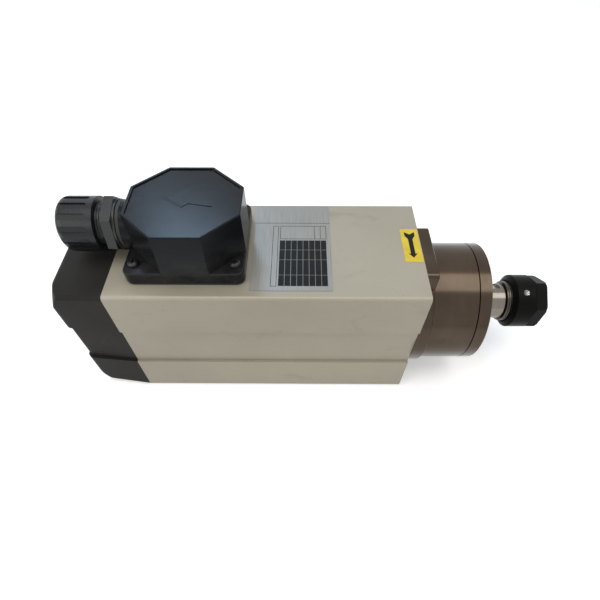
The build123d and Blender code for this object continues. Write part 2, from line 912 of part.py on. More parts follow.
with BuildPart() as stator_windings:
    for turn_start in (stack_x - end_turn_length, stack_end):
        with BuildSketch(lengthwise) as end_turn:
            with Locations(
                (turn_start + end_turn_length / 2, (end_turn_inner + end_turn_radius) / 2)
            ):
                RectangleRounded(end_turn_length, end_turn_radius - end_turn_inner, end_turn_round)
        revolve(axis=spindle_axis)
    extrude(stator_slots(stack_x - end_turn_round), amount=stack_length + 2 * end_turn_round)
save(stator_windings, "stator_windings")

# ---------------------------------------------------------------- rear shield and fan
shield_bore = rear_bearing_bore + shield_bore_gap
spring_seat = rear_bearing_x - spring_height
web_inner, web_outer = 26.0, 35.0
spring_thickness = 0.5
spring_inner = 16.6
spring_outer = 20.6

with BuildPart() as rear_shield:
    with BuildSketch(across(rear_x)) as shield_outline:
        Circle(shield_flange_radius)
        Rectangle(2 * shield_lug_half_width, 2 * shield_lug_reach)
    extrude(amount=-shield_flange)
    with BuildSketch(across(rear_x)) as shield_spigot:
        Circle(stator_bore_radius)
    extrude(amount=shield_thickness)
    bearing_seat = half_section(
        [
            (rear_x - shield_flange, 0),
            (rear_x - shield_flange, shield_bore),
            (spring_seat, shield_bore),
            (spring_seat, rear_bearing_outside),
            (rear_x + shield_thickness, rear_bearing_outside),
            (rear_x + shield_thickness, 0),
        ]
    )
    revolve(bearing_seat, axis=spindle_axis, mode=Mode.SUBTRACT)
    revolve(
        ring_section(
            rear_x + shield_thickness - shield_web,
            rear_x + shield_thickness,
            web_inner,
            web_outer,
        ),
        axis=spindle_axis,
        mode=Mode.SUBTRACT,
    )
    with BuildSketch(across(rear_x)) as shield_holes:
        with GridLocations(2 * shield_screw_y, 2 * shield_screw_z, 2, 2):
            Circle(m4_clearance)
    extrude(amount=-shield_flange, mode=Mode.SUBTRACT)
save(rear_shield, "rear_shield")

shield_screw = socket_screw(
    m4_shank, m4_head, m4_head_height, shield_flange + shield_thread_depth - screw_end_gap
)
with BuildPart() as shield_screws:
    with Locations(backward(rear_x - shield_flange)):
        with GridLocations(2 * shield_screw_y, 2 * shield_screw_z, 2, 2):
            add(shield_screw)
save(shield_screws, "shield_screws")

with BuildPart() as preload_spring:
    spring_outline = half_section(
        [
            (spring_seat, spring_inner),
            (spring_seat + spring_thickness, spring_inner),
            (rear_bearing_x, spring_outer),
            (rear_bearing_x - spring_thickness, spring_outer),
        ]
    )
    revolve(spring_outline, axis=spindle_axis)
save(preload_spring, "preload_spring")

blade_root = (fan_hub_radius - fan_blade_root_depth, 0)
blade_tip = (fan_radius - fan_blade_tip_inset, fan_blade_tip_offset)
with BuildPart() as fan_impeller:
    revolve(ring_section(fan_rear, fan_front, fan_seat_radius, fan_hub_radius), axis=spindle_axis)
    revolve(
        ring_section(fan_front - fan_disc_thickness, fan_front, fan_seat_radius, fan_radius),
        axis=spindle_axis,
    )
    blade_arc = ThreePointArc(blade_root, fan_blade_bend, blade_tip)
    with BuildSketch(across(fan_front)) as blades:
        with PolarLocations(0, fan_blade_count):
            SlotArc(blade_arc, fan_blade_thickness)
    extrude(amount=-(fan_disc_thickness + fan_blade_height))
    revolve(ring_section(fan_rear, fan_front, 0, fan_seat_radius), axis=spindle_axis, mode=Mode.SUBTRACT)
save(fan_impeller, "fan_impeller")

fan_screw_piece = socket_screw(m5_shank, m5_head, m5_head_height, fan_screw_length)
with BuildPart() as fan_screw:
    with Locations(backward(fan_rear)):
        Cylinder(
            fan_hub_radius - fan_washer_inset,
            fan_washer_thickness,
            align=(Align.CENTER, Align.CENTER, Align.MIN),
        )
        add(fan_screw_piece)
save(fan_screw, "fan_screw")

# ---------------------------------------------------------------- collet
front_slit_depth = 28.0
rear_slit_depth = 26.0
with BuildPart() as collet:
    collet_outline = half_section(
        [
            (collet_rear, collet_bore_radius),
            (collet_front, collet_bore_radius),
            (collet_front, collet_front_radius),
            (collet_front - nose_cone_length, collet_rim_radius),
            (groove_front, collet_rim_radius),
            (groove_front, collet_groove_radius),
            (taper_front, collet_groove_radius),
            (taper_front, collet_body_radius),
            (collet_rear, collet_radius(collet_rear)),
        ]
    )
    revolve(collet_outline, axis=spindle_axis)
    with BuildSketch(across(collet_front)) as front_slits:
        with PolarLocations(0, collet_slit_count // 2, angular_range=180):
            Rectangle(4 * collet_rim_radius, collet_slit)
    extrude(amount=-front_slit_depth, mode=Mode.SUBTRACT)
    with BuildSketch(across(collet_rear)) as rear_slits:
        with PolarLocations(0, collet_slit_count // 2, start_angle=45, angular_range=180):
            Rectangle(4 * collet_rim_radius, collet_slit)
    extrude(amount=rear_slit_depth, mode=Mode.SUBTRACT)
save(collet, "collet")

# ---------------------------------------------------------------- collet nut
nut_rear = front_x + nut_start
nut_bore_radius = head_radius + moving_gap
nut_mouth_chamfer = 0.9
ring_seat_radius = 14.6
ring_seat_front = groove_front + ring_front_play
ring_seat_rear = taper_front - ring_rear_play
lip_gap = moving_gap
hex_start = nut_front - nut_hex_length
hex_apothem = nut_hex_across_flats / 2


def nut_cone(x):
    """The radius of the nut's inner cone at x, just clear of the collet's nose."""
    slope = tan(radians(collet_nose_angle))
    return collet_front_radius + lip_gap + (collet_front - x) * slope


with BuildPart() as collet_nut:
    nut_outline = half_section(
        [
            (nut_rear, nut_bore_radius + nut_mouth_chamfer),
            (nut_rear, nut_back_radius),
            (nut_rear + nut_back_chamfer, nut_radius),
            (nut_front - nut_front_chamfer, nut_radius),
            (nut_front, nut_radius - nut_front_chamfer),
            (nut_front, nut_cone(nut_front)),
            (ring_seat_front, nut_cone(ring_seat_front)),
            (ring_seat_front, ring_seat_radius),
            (ring_seat_rear, ring_seat_radius),
            (ring_seat_rear, nut_bore_radius),
            (nut_rear + nut_mouth_chamfer, nut_bore_radius),
        ]
    )
    revolve(nut_outline, axis=spindle_axis)
    # Six spanner flats, each running out on a 45 degree ramp
    ramp = nut_radius - hex_apothem
    for flat in range(6):
        with BuildSketch(radial(nut_hex_turn + 60 * flat)) as spanner_flat_section:
            with BuildLine():
                Polyline(
                    (hex_start - ramp - overcut, nut_radius + overcut),
                    (hex_start, hex_apothem),
                    (nut_front + overcut, hex_apothem),
                    (nut_front + overcut, nut_radius + overcut),
                    close=True,
                )
            make_face()
        extrude(amount=nut_radius, both=True, mode=Mode.SUBTRACT)
    # Balance drilling
    drill_direction = Vector(
        0, cos(radians(balance_drill_angle)), sin(radians(balance_drill_angle))
    )
    drill_start = Vector(nut_rear + balance_drill_x, 0, axis_height) + drill_direction * nut_radius
    with Locations(Plane(origin=drill_start, x_dir=(1, 0, 0), z_dir=drill_direction)):
        Cone(
            balance_drill_point,
            balance_drill_radius,
            balance_drill_depth,
            align=(Align.CENTER, Align.CENTER, Align.MAX),
            mode=Mode.SUBTRACT,
        )
save(collet_nut, "collet_nut")

with BuildPart() as extractor_ring:
    ring_rear = (groove_front + taper_front - extractor_width) / 2
    revolve(
        ring_section(
            ring_rear,
            ring_rear + extractor_width,
            collet_groove_radius + lip_gap,
            ring_seat_radius,
        ),
        axis=spindle_axis,
    )
save(extractor_ring, "extractor_ring")

# ---------------------------------------------------------------- terminal box
box_x = rear_x + box_centre
hood_x = rear_x + hood_centre
gasket_top = body_height + gasket_thickness
ear_top = body_height + ear_height
hood_top = body_height + hood_height
gasket_inset = 0.4
ear_edge_radius = 1.2


def shrunk_octagon(inset):
    """The hood's octagon, moved in by this much on every side."""
    corner_step = inset * (sqrt(2) - 1)
    return octagon(
        hood_half_length - inset,
        hood_half_width - inset,
        hood_flat_half_length - corner_step,
        hood_flat_half_width - corner_step,
    )


with BuildPart() as terminal_gasket:
    with BuildSketch(Plane.XY.offset(body_height)) as gasket_outline:
        with Locations((box_x, 0)):
            RectangleRounded(
                box_length - 2 * gasket_inset, box_width - 2 * gasket_inset, box_corner_radius
            )
            with GridLocations(2 * hood_screw_x, 2 * hood_screw_y, 2, 2):
                Circle(m4_clearance, mode=Mode.SUBTRACT)
        with Locations((hood_x, 0)):
            add(shrunk_octagon(hood_wall), mode=Mode.SUBTRACT)
    extrude(amount=gasket_thickness)
save(terminal_gasket, "terminal_gasket")

boss_face = box_x - box_length / 2
boss_end = rear_x + gland_boss_end
lid_draft = (hood_height - gasket_thickness) * tan(radians(hood_draft))
with BuildPart() as terminal_hood:
    with BuildSketch(Plane.XY.offset(gasket_top)) as ears:
        with Locations((box_x, 0)):
            RectangleRounded(box_length, box_width, box_corner_radius)
    extrude(amount=ear_top - gasket_top)
    fillet(terminal_hood.faces().sort_by(Axis.Z)[-1].edges(), ear_edge_radius)
    with BuildSketch(Plane.XY.offset(gasket_top)) as hood_outline:
        with Locations((hood_x, 0)):
            add(shrunk_octagon(0))
    extrude(amount=hood_top - gasket_top, taper=hood_draft)
    fillet(terminal_hood.faces().sort_by(Axis.Z)[-1].edges(), hood_edge_radius)
    with BuildSketch(Plane.XY.offset(gasket_top)) as hollow:
        with Locations((hood_x, 0)):
            add(shrunk_octagon(hood_wall))
    extrude(
        amount=hood_top - lid_recess - hood_wall - gasket_top,
        taper=hood_draft,
        mode=Mode.SUBTRACT,
    )
    with BuildSketch(across(boss_face, gland_height)) as boss:
        Circle(gland_boss_radius)
    extrude(amount=boss_end - boss_face)
    with BuildSketch(across(boss_face, gland_height)) as gland_hole:
        Circle(gland_thread_radius + seat_gap)
    extrude(amount=boss_end - boss_face, mode=Mode.SUBTRACT)
    with BuildSketch(Plane.XY.offset(hood_top)) as lid_panel:
        with Locations((hood_x, 0)):
            add(shrunk_octagon(lid_rim + lid_draft))
    extrude(amount=-lid_recess, mode=Mode.SUBTRACT)
    with BuildSketch(Plane.XY.offset(ear_top)) as ear_holes:
        with Locations((box_x, 0)):
            with GridLocations(2 * hood_screw_x, 2 * hood_screw_y, 2, 2):
                Circle(m4_clearance)
    extrude(amount=gasket_top - ear_top, mode=Mode.SUBTRACT)
save(terminal_hood, "terminal_hood")

hood_screw = pan_screw(ear_height + top_thread_depth - screw_end_gap)
with BuildPart() as hood_screws:
    with Locations(Plane.XY.offset(ear_top)):
        with Locations((box_x, 0)):
            with GridLocations(2 * hood_screw_x, 2 * hood_screw_y, 2, 2):
                add(hood_screw)
save(hood_screws, "hood_screws")

# ---------------------------------------------------------------- terminal block and leads
block_length, block_width, block_height = 22.0, 46.0, 10.0
block_foot_height = 4.0
foot_width = 8.0
block_base = body_height + block_foot_height
block_top = block_base + block_height
pole_pitch = 9.5
barrier_height = 5.0
barrier_thickness = 1.6
clamp_length, clamp_width, clamp_thickness = 17.0, 7.0, 1.6
clamp_screw_x = 5.0
lead_radius = 1.3
lead_pitch = 3.4

with BuildPart() as terminal_block:
    with Locations((lead_x, 0, block_base)):
        Box(block_length, block_width, block_height, align=(Align.CENTER, Align.CENTER, Align.MIN))
    with Locations((lead_x, -terminal_screw_y, body_height), (lead_x, terminal_screw_y, body_height)):
        Box(
            block_length,
            foot_width,
            block_foot_height,
            align=(Align.CENTER, Align.CENTER, Align.MIN),
        )
    with Locations((lead_x, 0, block_top)):
        with GridLocations(0, pole_pitch, 1, terminal_poles + 1):
            Box(
                block_length,
                barrier_thickness,
                barrier_height,
                align=(Align.CENTER, Align.CENTER, Align.MIN),
            )
    with BuildSketch(Plane.XY.offset(body_height)) as block_holes:
        with Locations((lead_x, -terminal_screw_y), (lead_x, terminal_screw_y)):
            Circle(m4_clearance)
    extrude(amount=block_foot_height + block_height, mode=Mode.SUBTRACT)
save(terminal_block, "terminal_block")

block_screw = pan_screw(
    block_foot_height + block_height + top_thread_depth - screw_end_gap
)
with BuildPart() as block_screws:
    with Locations((lead_x, -terminal_screw_y, block_top), (lead_x, terminal_screw_y, block_top)):
        add(block_screw)
save(block_screws, "block_screws")

clamp_head_radius = 2.8
clamp_head_height = 2.2
with BuildPart() as terminal_clamps:
    with Locations((lead_x, 0, block_top)):
        with GridLocations(0, pole_pitch, 1, terminal_poles):
            Box(
                clamp_length,
                clamp_width,
                clamp_thickness,
                align=(Align.CENTER, Align.CENTER, Align.MIN),
            )
    with Locations((lead_x, 0, block_top + clamp_thickness)):
        with GridLocations(2 * clamp_screw_x, pole_pitch, 2, terminal_poles):
            Cylinder(
                clamp_head_radius,
                clamp_head_height,
                align=(Align.CENTER, Align.CENTER, Align.MIN),
            )
save(terminal_clamps, "terminal_clamps")

earth_screw_piece = pan_screw(top_thread_depth - screw_end_gap)
with BuildPart() as earth_screw:
    with Locations((rear_x + earth_screw_x, earth_screw_y, body_height)):
        add(earth_screw_piece)
save(earth_screw, "earth_screw")

grommet_flange = 9.0
grommet_flange_height = 1.5
grommet_bore = 5.2
grommet_depth = 12.0
with BuildPart() as lead_grommet:
    with BuildSketch(Plane.XY.offset(body_height - grommet_depth)) as sleeve:
        with Locations((lead_x, 0)):
            Circle(lead_hole_radius)
            Circle(grommet_bore, mode=Mode.SUBTRACT)
    extrude(amount=grommet_depth)
    with BuildSketch(Plane.XY.offset(body_height)) as collar:
        with Locations((lead_x, 0)):
            Circle(grommet_flange)
            Circle(grommet_bore, mode=Mode.SUBTRACT)
    extrude(amount=grommet_flange_height)
save(lead_grommet, "lead_grommet")

with BuildPart() as motor_leads:
    with BuildSketch(Plane.XY.offset(axis_height)) as wires:
        with Locations((lead_x, 0)):
            with GridLocations(0, lead_pitch, 1, terminal_poles):
                Circle(lead_radius)
    extrude(amount=block_base - axis_height)
    revolve(
        ring_section(stack_x - end_turn_length, stack_x, 0, end_turn_radius),
        axis=spindle_axis,
        mode=Mode.SUBTRACT,
    )
save(motor_leads, "motor_leads")

# ---------------------------------------------------------------- cable gland
washer_start = boss_face - gland_washer_thickness
step_start = washer_start - gland_step
gland_flange_start = step_start - gland_flange_thickness
gland_hex_start = gland_flange_start - gland_hex_length
gland_nut_front = gland_hex_start - gland_nut_gap
gland_nut_rear = gland_nut_front - gland_nut_length
thread_overlap = 14.0
gland_rear = gland_nut_front - thread_overlap
gland_inner_end = boss_end + gland_locknut_width + gland_thread_end
seal_radius = 12.0
seal_seat_depth = 8.0
seal_flange_radius = 13.9

with BuildPart() as gland_body:
    body_section = half_section(
        [
            (gland_rear, seal_radius + moving_gap),
            (gland_rear, gland_nut_thread_radius),
            (gland_hex_start, gland_nut_thread_radius),
            (gland_hex_start, gland_step_radius),
            (gland_flange_start, gland_step_radius),
            (gland_flange_start, gland_flange_radius),
            (step_start, gland_flange_radius),
            (step_start, gland_step_radius),
            (washer_start, gland_step_radius),
            (washer_start, gland_thread_radius),
            (gland_inner_end, gland_thread_radius),
            (gland_inner_end, gland_bore_radius),
            (gland_rear + seal_seat_depth, gland_bore_radius),
            (gland_rear + seal_seat_depth, seal_radius + moving_gap),
        ],
        gland_plane,
    )
    revolve(body_section, axis=gland_axis)
    with BuildSketch(across(gland_hex_start, gland_height)) as gland_hex:
        RegularPolygon(
            gland_hex_across_flats / 2, 6, major_radius=False, rotation=gland_hex_turn
        )
        Circle(gland_step_radius, mode=Mode.SUBTRACT)
    extrude(amount=gland_hex_length)
save(gland_body, "gland_body")

with BuildPart() as gland_washer:
    revolve(
        ring_section(
            washer_start, boss_face, gland_thread_radius, gland_washer_radius, gland_plane
        ),
        axis=gland_axis,
    )
save(gland_washer, "gland_washer")

with BuildPart() as gland_locknut:
    with BuildSketch(across(boss_end, gland_height)) as locknut_outline:
        RegularPolygon(gland_locknut_across_flats / 2, 6, major_radius=False)
        Circle(gland_thread_radius, mode=Mode.SUBTRACT)
    extrude(amount=gland_locknut_width)
save(gland_locknut, "gland_locknut")

seal_end = gland_nut_rear + gland_nut_dome
with BuildPart() as gland_seal:
    seal_section = half_section(
        [
            (seal_end + seat_gap, gland_seal_bore),
            (seal_end + seat_gap, seal_flange_radius),
            (gland_rear - seat_gap, seal_flange_radius),
            (gland_rear - seat_gap, seal_radius),
            (gland_rear + seal_seat_depth - loose_gap, seal_radius),
            (gland_rear + seal_seat_depth - loose_gap, gland_seal_bore),
        ],
        gland_plane,
    )
    revolve(seal_section, axis=gland_axis)
save(gland_seal, "gland_seal")

with BuildPart() as gland_dome_nut:
    with BuildSketch(gland_plane) as dome_section:
        with BuildLine():
            dome_line = Line(
                (gland_nut_front, gland_nut_radius), (seal_end, gland_nut_radius)
            )
            dome_arc = RadiusArc(
                dome_line @ 1,
                (gland_nut_rear, gland_nut_radius - gland_nut_dome),
                -gland_nut_dome,
            )
            Polyline(
                dome_arc @ 1,
                (gland_nut_rear, gland_nut_mouth),
                (seal_end, gland_nut_mouth),
                (seal_end, gland_nut_thread_radius + moving_gap),
                (gland_nut_front, gland_nut_thread_radius + moving_gap),
                (gland_nut_front, gland_nut_radius),
            )
        make_face()
    revolve(axis=gland_axis)
    groove_front_x = gland_nut_front - gland_groove_inset
    groove_length = gland_nut_length
    for groove in range(gland_groove_count):
        turn = radians(gland_groove_turn + 360 * groove / gland_groove_count)
        outward = Vector(0, cos(turn), sin(turn))
        groove_floor = Vector(groove_front_x - groove_length / 2, 0, gland_height) + outward * (
            gland_nut_radius - gland_groove_depth
        )
        with BuildSketch(Plane(origin=groove_floor, x_dir=(1, 0, 0), z_dir=outward)) as groove_outline:
            SlotOverall(groove_length, gland_groove_width)
        extrude(amount=2 * gland_groove_depth, mode=Mode.SUBTRACT)
save(gland_dome_nut, "gland_dome_nut")
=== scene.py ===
import math

import bmesh
import bpy
from mathutils import Matrix, Vector


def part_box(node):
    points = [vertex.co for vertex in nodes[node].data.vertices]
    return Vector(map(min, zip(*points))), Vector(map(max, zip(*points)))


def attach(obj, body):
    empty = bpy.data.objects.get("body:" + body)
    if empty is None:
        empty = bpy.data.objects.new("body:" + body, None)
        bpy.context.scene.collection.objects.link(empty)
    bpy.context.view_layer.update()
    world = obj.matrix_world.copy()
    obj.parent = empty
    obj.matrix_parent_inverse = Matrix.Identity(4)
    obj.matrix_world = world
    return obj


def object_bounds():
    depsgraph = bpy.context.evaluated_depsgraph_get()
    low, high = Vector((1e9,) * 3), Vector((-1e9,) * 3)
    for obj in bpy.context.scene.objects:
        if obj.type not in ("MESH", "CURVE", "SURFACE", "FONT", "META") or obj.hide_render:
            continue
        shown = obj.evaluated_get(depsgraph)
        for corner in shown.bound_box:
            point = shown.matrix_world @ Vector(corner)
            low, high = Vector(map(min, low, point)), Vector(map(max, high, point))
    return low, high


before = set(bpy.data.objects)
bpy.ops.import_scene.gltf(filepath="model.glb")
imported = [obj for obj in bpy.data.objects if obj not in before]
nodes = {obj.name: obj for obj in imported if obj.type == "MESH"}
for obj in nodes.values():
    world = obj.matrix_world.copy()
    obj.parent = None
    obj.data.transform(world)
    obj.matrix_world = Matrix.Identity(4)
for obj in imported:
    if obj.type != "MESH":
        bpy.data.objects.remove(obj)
cad_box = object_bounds()

# ---------------------------------------------------------------- camera
# Seen from above the -Y side at 56 degrees, close up with a wide lens, so that the top
# and the near side both show. The lens is shifted rather than turned to frame the part.
CAMERA_PLACE = Vector((0.0223, -0.2245, 0.3169))
CAMERA_TILT = math.radians(56.007)
CAMERA_YAW = math.radians(-0.192)
CAMERA_ROLL = math.radians(0.261)
LENS = 24.88
SENSOR_WIDTH = 36
SHIFT_ACROSS = 0.0013
SHIFT_UP = 0.0817
NEAREST_SEEN = 0.01

level_forward = Vector((0, math.cos(CAMERA_TILT), -math.sin(CAMERA_TILT)))
level_up = Vector((0, math.sin(CAMERA_TILT), math.cos(CAMERA_TILT)))
level_right = Vector((1, 0, 0))
forward = level_forward * math.cos(CAMERA_YAW) + level_right * math.sin(CAMERA_YAW)
turned_right = level_right * math.cos(CAMERA_YAW) - level_forward * math.sin(CAMERA_YAW)
right = turned_right * math.cos(CAMERA_ROLL) + level_up * math.sin(CAMERA_ROLL)
up = level_up * math.cos(CAMERA_ROLL) - turned_right * math.sin(CAMERA_ROLL)
camera_axes = Matrix((right, up, -forward)).transposed().to_4x4()
camera_data = bpy.data.cameras.new("camera")
camera_data.lens = LENS
camera_data.sensor_width = SENSOR_WIDTH
camera_data.shift_x = SHIFT_ACROSS
camera_data.shift_y = SHIFT_UP
camera_data.clip_start = NEAREST_SEEN
camera = bpy.data.objects.new("camera", camera_data)
bpy.context.scene.collection.objects.link(camera)
camera.matrix_world = Matrix.Translation(CAMERA_PLACE) @ camera_axes
bpy.context.scene.camera = camera
bpy.context.scene.view_settings.view_transform = "Standard"

# ---------------------------------------------------------------- studio
# A flat sheet of white paper under one large soft box and two smaller ones. Paper and
# walls look white to the camera and in polished metal, but light everything else only
# softly, so that the part keeps its shadow.
WHITE = (1.0, 1.0, 1.0)
WALL_LIGHT = 0.36
PAPER = (0.86, 0.86, 0.86)
PAPER_HALF_SIDE = 3.0
PAPER_DROP = 0.0005
PAPER_ROUGHNESS = 0.9
PAPER_SPECULAR = 0.1
PAPER_GLOW = 0.42
WARM_WHITE = (1.0, 0.98, 0.95)
WINDOW_BLUE = (0.50, 0.74, 1.0)
# Each soft box: its place, its length and width, its power and its colour
SOFT_BOXES = {
    "overhead": ((0.10, -0.14, 1.3), (1.7, 0.74), 9.8, WARM_WHITE),
    "left_fill": ((-1.2, -0.8, 0.8), (1.2, 1.2), 9.5, WARM_WHITE),
    "far_window": ((-0.50, 1.24, 1.40), (0.36, 0.30), 7.0, WINDOW_BLUE),
}


def new_material(name):
    """A fresh material, its node tree and its principled shader."""
    material = bpy.data.materials.new(name)
    material.use_nodes = True
    return material, material.node_tree, material.node_tree.nodes["Principled BSDF"]


def seen_directly(tree):
    """1 for rays from the camera, a mirror or glass, and 0 for all others."""
    path = tree.nodes.new("ShaderNodeLightPath")
    polished = tree.nodes.new("ShaderNodeMath")
    polished.operation = "MAXIMUM"
    tree.links.new(path.outputs["Is Glossy Ray"], polished.inputs[0])
    tree.links.new(path.outputs["Is Transmission Ray"], polished.inputs[1])
    either = tree.nodes.new("ShaderNodeMath")
    either.operation = "MAXIMUM"
    tree.links.new(path.outputs["Is Camera Ray"], either.inputs[0])
    tree.links.new(polished.outputs[0], either.inputs[1])
    return either.outputs[0]


def emission(tree, strength):
    """A white glow of this strength."""
    glow = tree.nodes.new("ShaderNodeEmission")
    glow.inputs["Strength"].default_value = strength
    return glow.outputs[0]


def choice(tree, share, first, second):
    """The second shader where the share is 1, and the first where it is 0."""
    mixed = tree.nodes.new("ShaderNodeMixShader")
    tree.links.new(share, mixed.inputs["Fac"])
    tree.links.new(first, mixed.inputs[1])
    tree.links.new(second, mixed.inputs[2])
    return mixed.outputs[0]


world = bpy.data.worlds.new("studio")
world.use_nodes = True
bpy.context.scene.world = world
tree = world.node_tree
walls = tree.nodes["Background"]
walls.inputs["Color"].default_value = (*WHITE, 1)
walls.inputs["Strength"].default_value = WALL_LIGHT
backdrop = tree.nodes.new("ShaderNodeBackground")
backdrop.inputs["Color"].default_value = (*WHITE, 1)
surroundings = choice(tree, seen_directly(tree), walls.outputs[0], backdrop.outputs[0])
tree.links.new(surroundings, tree.nodes["World Output"].inputs["Surface"])

paper = bmesh.new()
bmesh.ops.create_grid(paper, x_segments=1, y_segments=1, size=PAPER_HALF_SIDE)
paper_mesh = bpy.data.meshes.new("paper")
paper.to_mesh(paper_mesh)
paper.free()
floor = bpy.data.objects.new("paper", paper_mesh)
floor.location.z = cad_box[0].z - PAPER_DROP
bpy.context.scene.collection.objects.link(floor)
paper_white, tree, shader = new_material("paper_white")
shader.inputs["Base Color"].default_value = (*PAPER, 1)
shader.inputs["Roughness"].default_value = PAPER_ROUGHNESS
shader.inputs["Specular IOR Level"].default_value = PAPER_SPECULAR
glow = choice(tree, seen_directly(tree), emission(tree, 0.0), emission(tree, PAPER_GLOW))
lit_and_glowing = tree.nodes.new("ShaderNodeAddShader")
tree.links.new(shader.outputs[0], lit_and_glowing.inputs[0])
tree.links.new(glow, lit_and_glowing.inputs[1])
tree.links.new(lit_and_glowing.outputs[0], tree.nodes["Material Output"].inputs["Surface"])
floor.data.materials.append(paper_white)

for name, (place, (length, width), power, colour) in SOFT_BOXES.items():
    box = bpy.data.lights.new(name, "AREA")
    box.shape = "RECTANGLE"
    box.size = length
    box.size_y = width
    box.energy = power
    box.color = colour
    lamp = bpy.data.objects.new(name, box)
    away = Vector(place).normalized()
    level = Vector((0, 1, 0)).cross(away).normalized()
    lamp_axes = Matrix((level, away.cross(level), away)).transposed().to_4x4()
    lamp.matrix_world = Matrix.Translation(place) @ lamp_axes
    bpy.context.scene.collection.objects.link(lamp)

# ---------------------------------------------------------------- motor body
# The square aluminium extrusion that carries the stator: matt champagne anodising, a
# little blotchy, with faint handling smudges and a fine drawn grain along its length.
CHAMPAGNE = (0.385, 0.355, 0.285)
CHAMPAGNE_DEEP = (0.325, 0.298, 0.238)
SMUDGE = (0.235, 0.215, 0.176)
SPECK = (0.19, 0.172, 0.14)
DRAWN_DEPTH = 0.00002


def at_place(tree, stretch=(1, 1, 1)):
    """The piece's own coordinates, stretched along each axis."""
    where = tree.nodes.new("ShaderNodeTexCoord")
    mapping = tree.nodes.new("ShaderNodeMapping")
    mapping.inputs["Scale"].default_value = stretch
    tree.links.new(where.outputs["Object"], mapping.inputs["Vector"])
    return mapping.outputs[0]


def noise(tree, vector, scale, detail=2.0, roughness=0.5, distortion=0.0):
    """Cloudy variation from 0 to 1."""
    cloud = tree.nodes.new("ShaderNodeTexNoise")
    cloud.inputs["Scale"].default_value = scale
    cloud.inputs["Detail"].default_value = detail
    cloud.inputs["Roughness"].default_value = roughness
    cloud.inputs["Distortion"].default_value = distortion
    tree.links.new(vector, cloud.inputs["Vector"])
    return cloud.outputs["Fac"]


def ramp(tree, pattern, dark, light, low=0.3, high=0.7):
    """A colour that goes from dark to light as the pattern goes from low to high."""
    node = tree.nodes.new("ShaderNodeValToRGB")
    for element, position, colour in zip(node.color_ramp.elements, (low, high), (dark, light)):
        element.position = position
        element.color = (*colour, 1)
    tree.links.new(pattern, node.inputs["Fac"])
    return node.outputs["Color"]


def spread(tree, pattern, first, last, start=0.0, end=1.0):
    """A value that goes from first to last as the pattern goes from start to end."""
    node = tree.nodes.new("ShaderNodeMapRange")
    node.inputs["From Min"].default_value = start
    node.inputs["From Max"].default_value = end
    node.inputs["To Min"].default_value = first
    node.inputs["To Max"].default_value = last
    tree.links.new(pattern, node.inputs["Value"])
    return node.outputs["Result"]


def blend_colours(tree, share, first, second, how="MIX"):
    """Two colours mixed by a share; each may be a plain value or a socket."""
    mix = tree.nodes.new("ShaderNodeMix")
    mix.data_type = "RGBA"
    mix.blend_type = how
    for socket, value in ((mix.inputs[0], share), (mix.inputs[6], first), (mix.inputs[7], second)):
        if isinstance(value, bpy.types.NodeSocket):
            tree.links.new(value, socket)
        elif isinstance(value, tuple):
            socket.default_value = (*value, 1)
        else:
            socket.default_value = value
    return mix.outputs[2]


def colour_from(tree, shader, colour):
    """Joins a colour to the surface."""
    tree.links.new(colour, shader.inputs["Base Color"])


def roughness_from(tree, shader, pattern, first, last, start=0.0, end=1.0):
    """Lets the surface's roughness follow a pattern."""
    tree.links.new(spread(tree, pattern, first, last, start, end), shader.inputs["Roughness"])


def relief(tree, shader, height, depth, strength=1.0):
    """Surface relief, its depth in metres."""
    bump = tree.nodes.new("ShaderNodeBump")
    bump.inputs["Distance"].default_value = depth
    bump.inputs["Strength"].default_value = strength
    tree.links.new(height, bump.inputs["Height"])
    tree.links.new(bump.outputs["Normal"], shader.inputs["Normal"])


def dress(material, *names):
    """Gives CAD nodes a material."""
    for name in names:
        nodes[name].material_slots[0].material = material


anodising, tree, shader = new_material("champagne_anodising")
clouds = noise(tree, at_place(tree), scale=9, detail=4)
tone = ramp(tree, clouds, CHAMPAGNE_DEEP, CHAMPAGNE, low=0.32, high=0.68)
stretched = at_place(tree, stretch=(1, 1.6, 1.6))
smudges = noise(tree, stretched, scale=34, detail=6, roughness=0.62, distortion=0.6)
tone = blend_colours(tree, spread(tree, smudges, 0.0, 0.5, start=0.60, end=0.80), tone, SMUDGE)
specks = noise(tree, at_place(tree), scale=900, detail=1)
tone = blend_colours(tree, spread(tree, specks, 0.0, 0.55, start=0.72, end=0.80), tone, SPECK)
colour_from(tree, shader, tone)
shader.inputs["Metallic"].default_value = 0.25
shader.inputs["Specular IOR Level"].default_value = 0.3
roughness_from(tree, shader, clouds, 0.42, 0.55, start=0.3, end=0.7)
drawn = noise(tree, at_place(tree, stretch=(0.02, 1, 1)), scale=2600, detail=2)
grain = noise(tree, at_place(tree), scale=3400, detail=2)
relief(tree, shader, blend_colours(tree, 0.5, drawn, grain), DRAWN_DEPTH, strength=0.5)
dress(anodising, "motor_body")

# ---------------------------------------------------------------- rating plate
# A blank rating plate of satin sheet, glued to the top beside the terminal box. Its
# printed table, frames and dividing line are left without words.
SATIN_DARK = (0.235, 0.232, 0.218)
SATIN_LIGHT = (0.310, 0.305, 0.288)
BRUSHED_DEPTH = 0.000006
PLATE_X = (-0.0118, 0.0434)
PLATE_Y = (-0.0413, 0.0455)
PLATE_THICKNESS = 0.0003
PLATE_CORNER = 0.0008
PLATE_CORNER_STEPS = 5
UPRIGHT = 0.99
SHARP_ANGLE = math.radians(32)
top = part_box("motor_body")[1].z


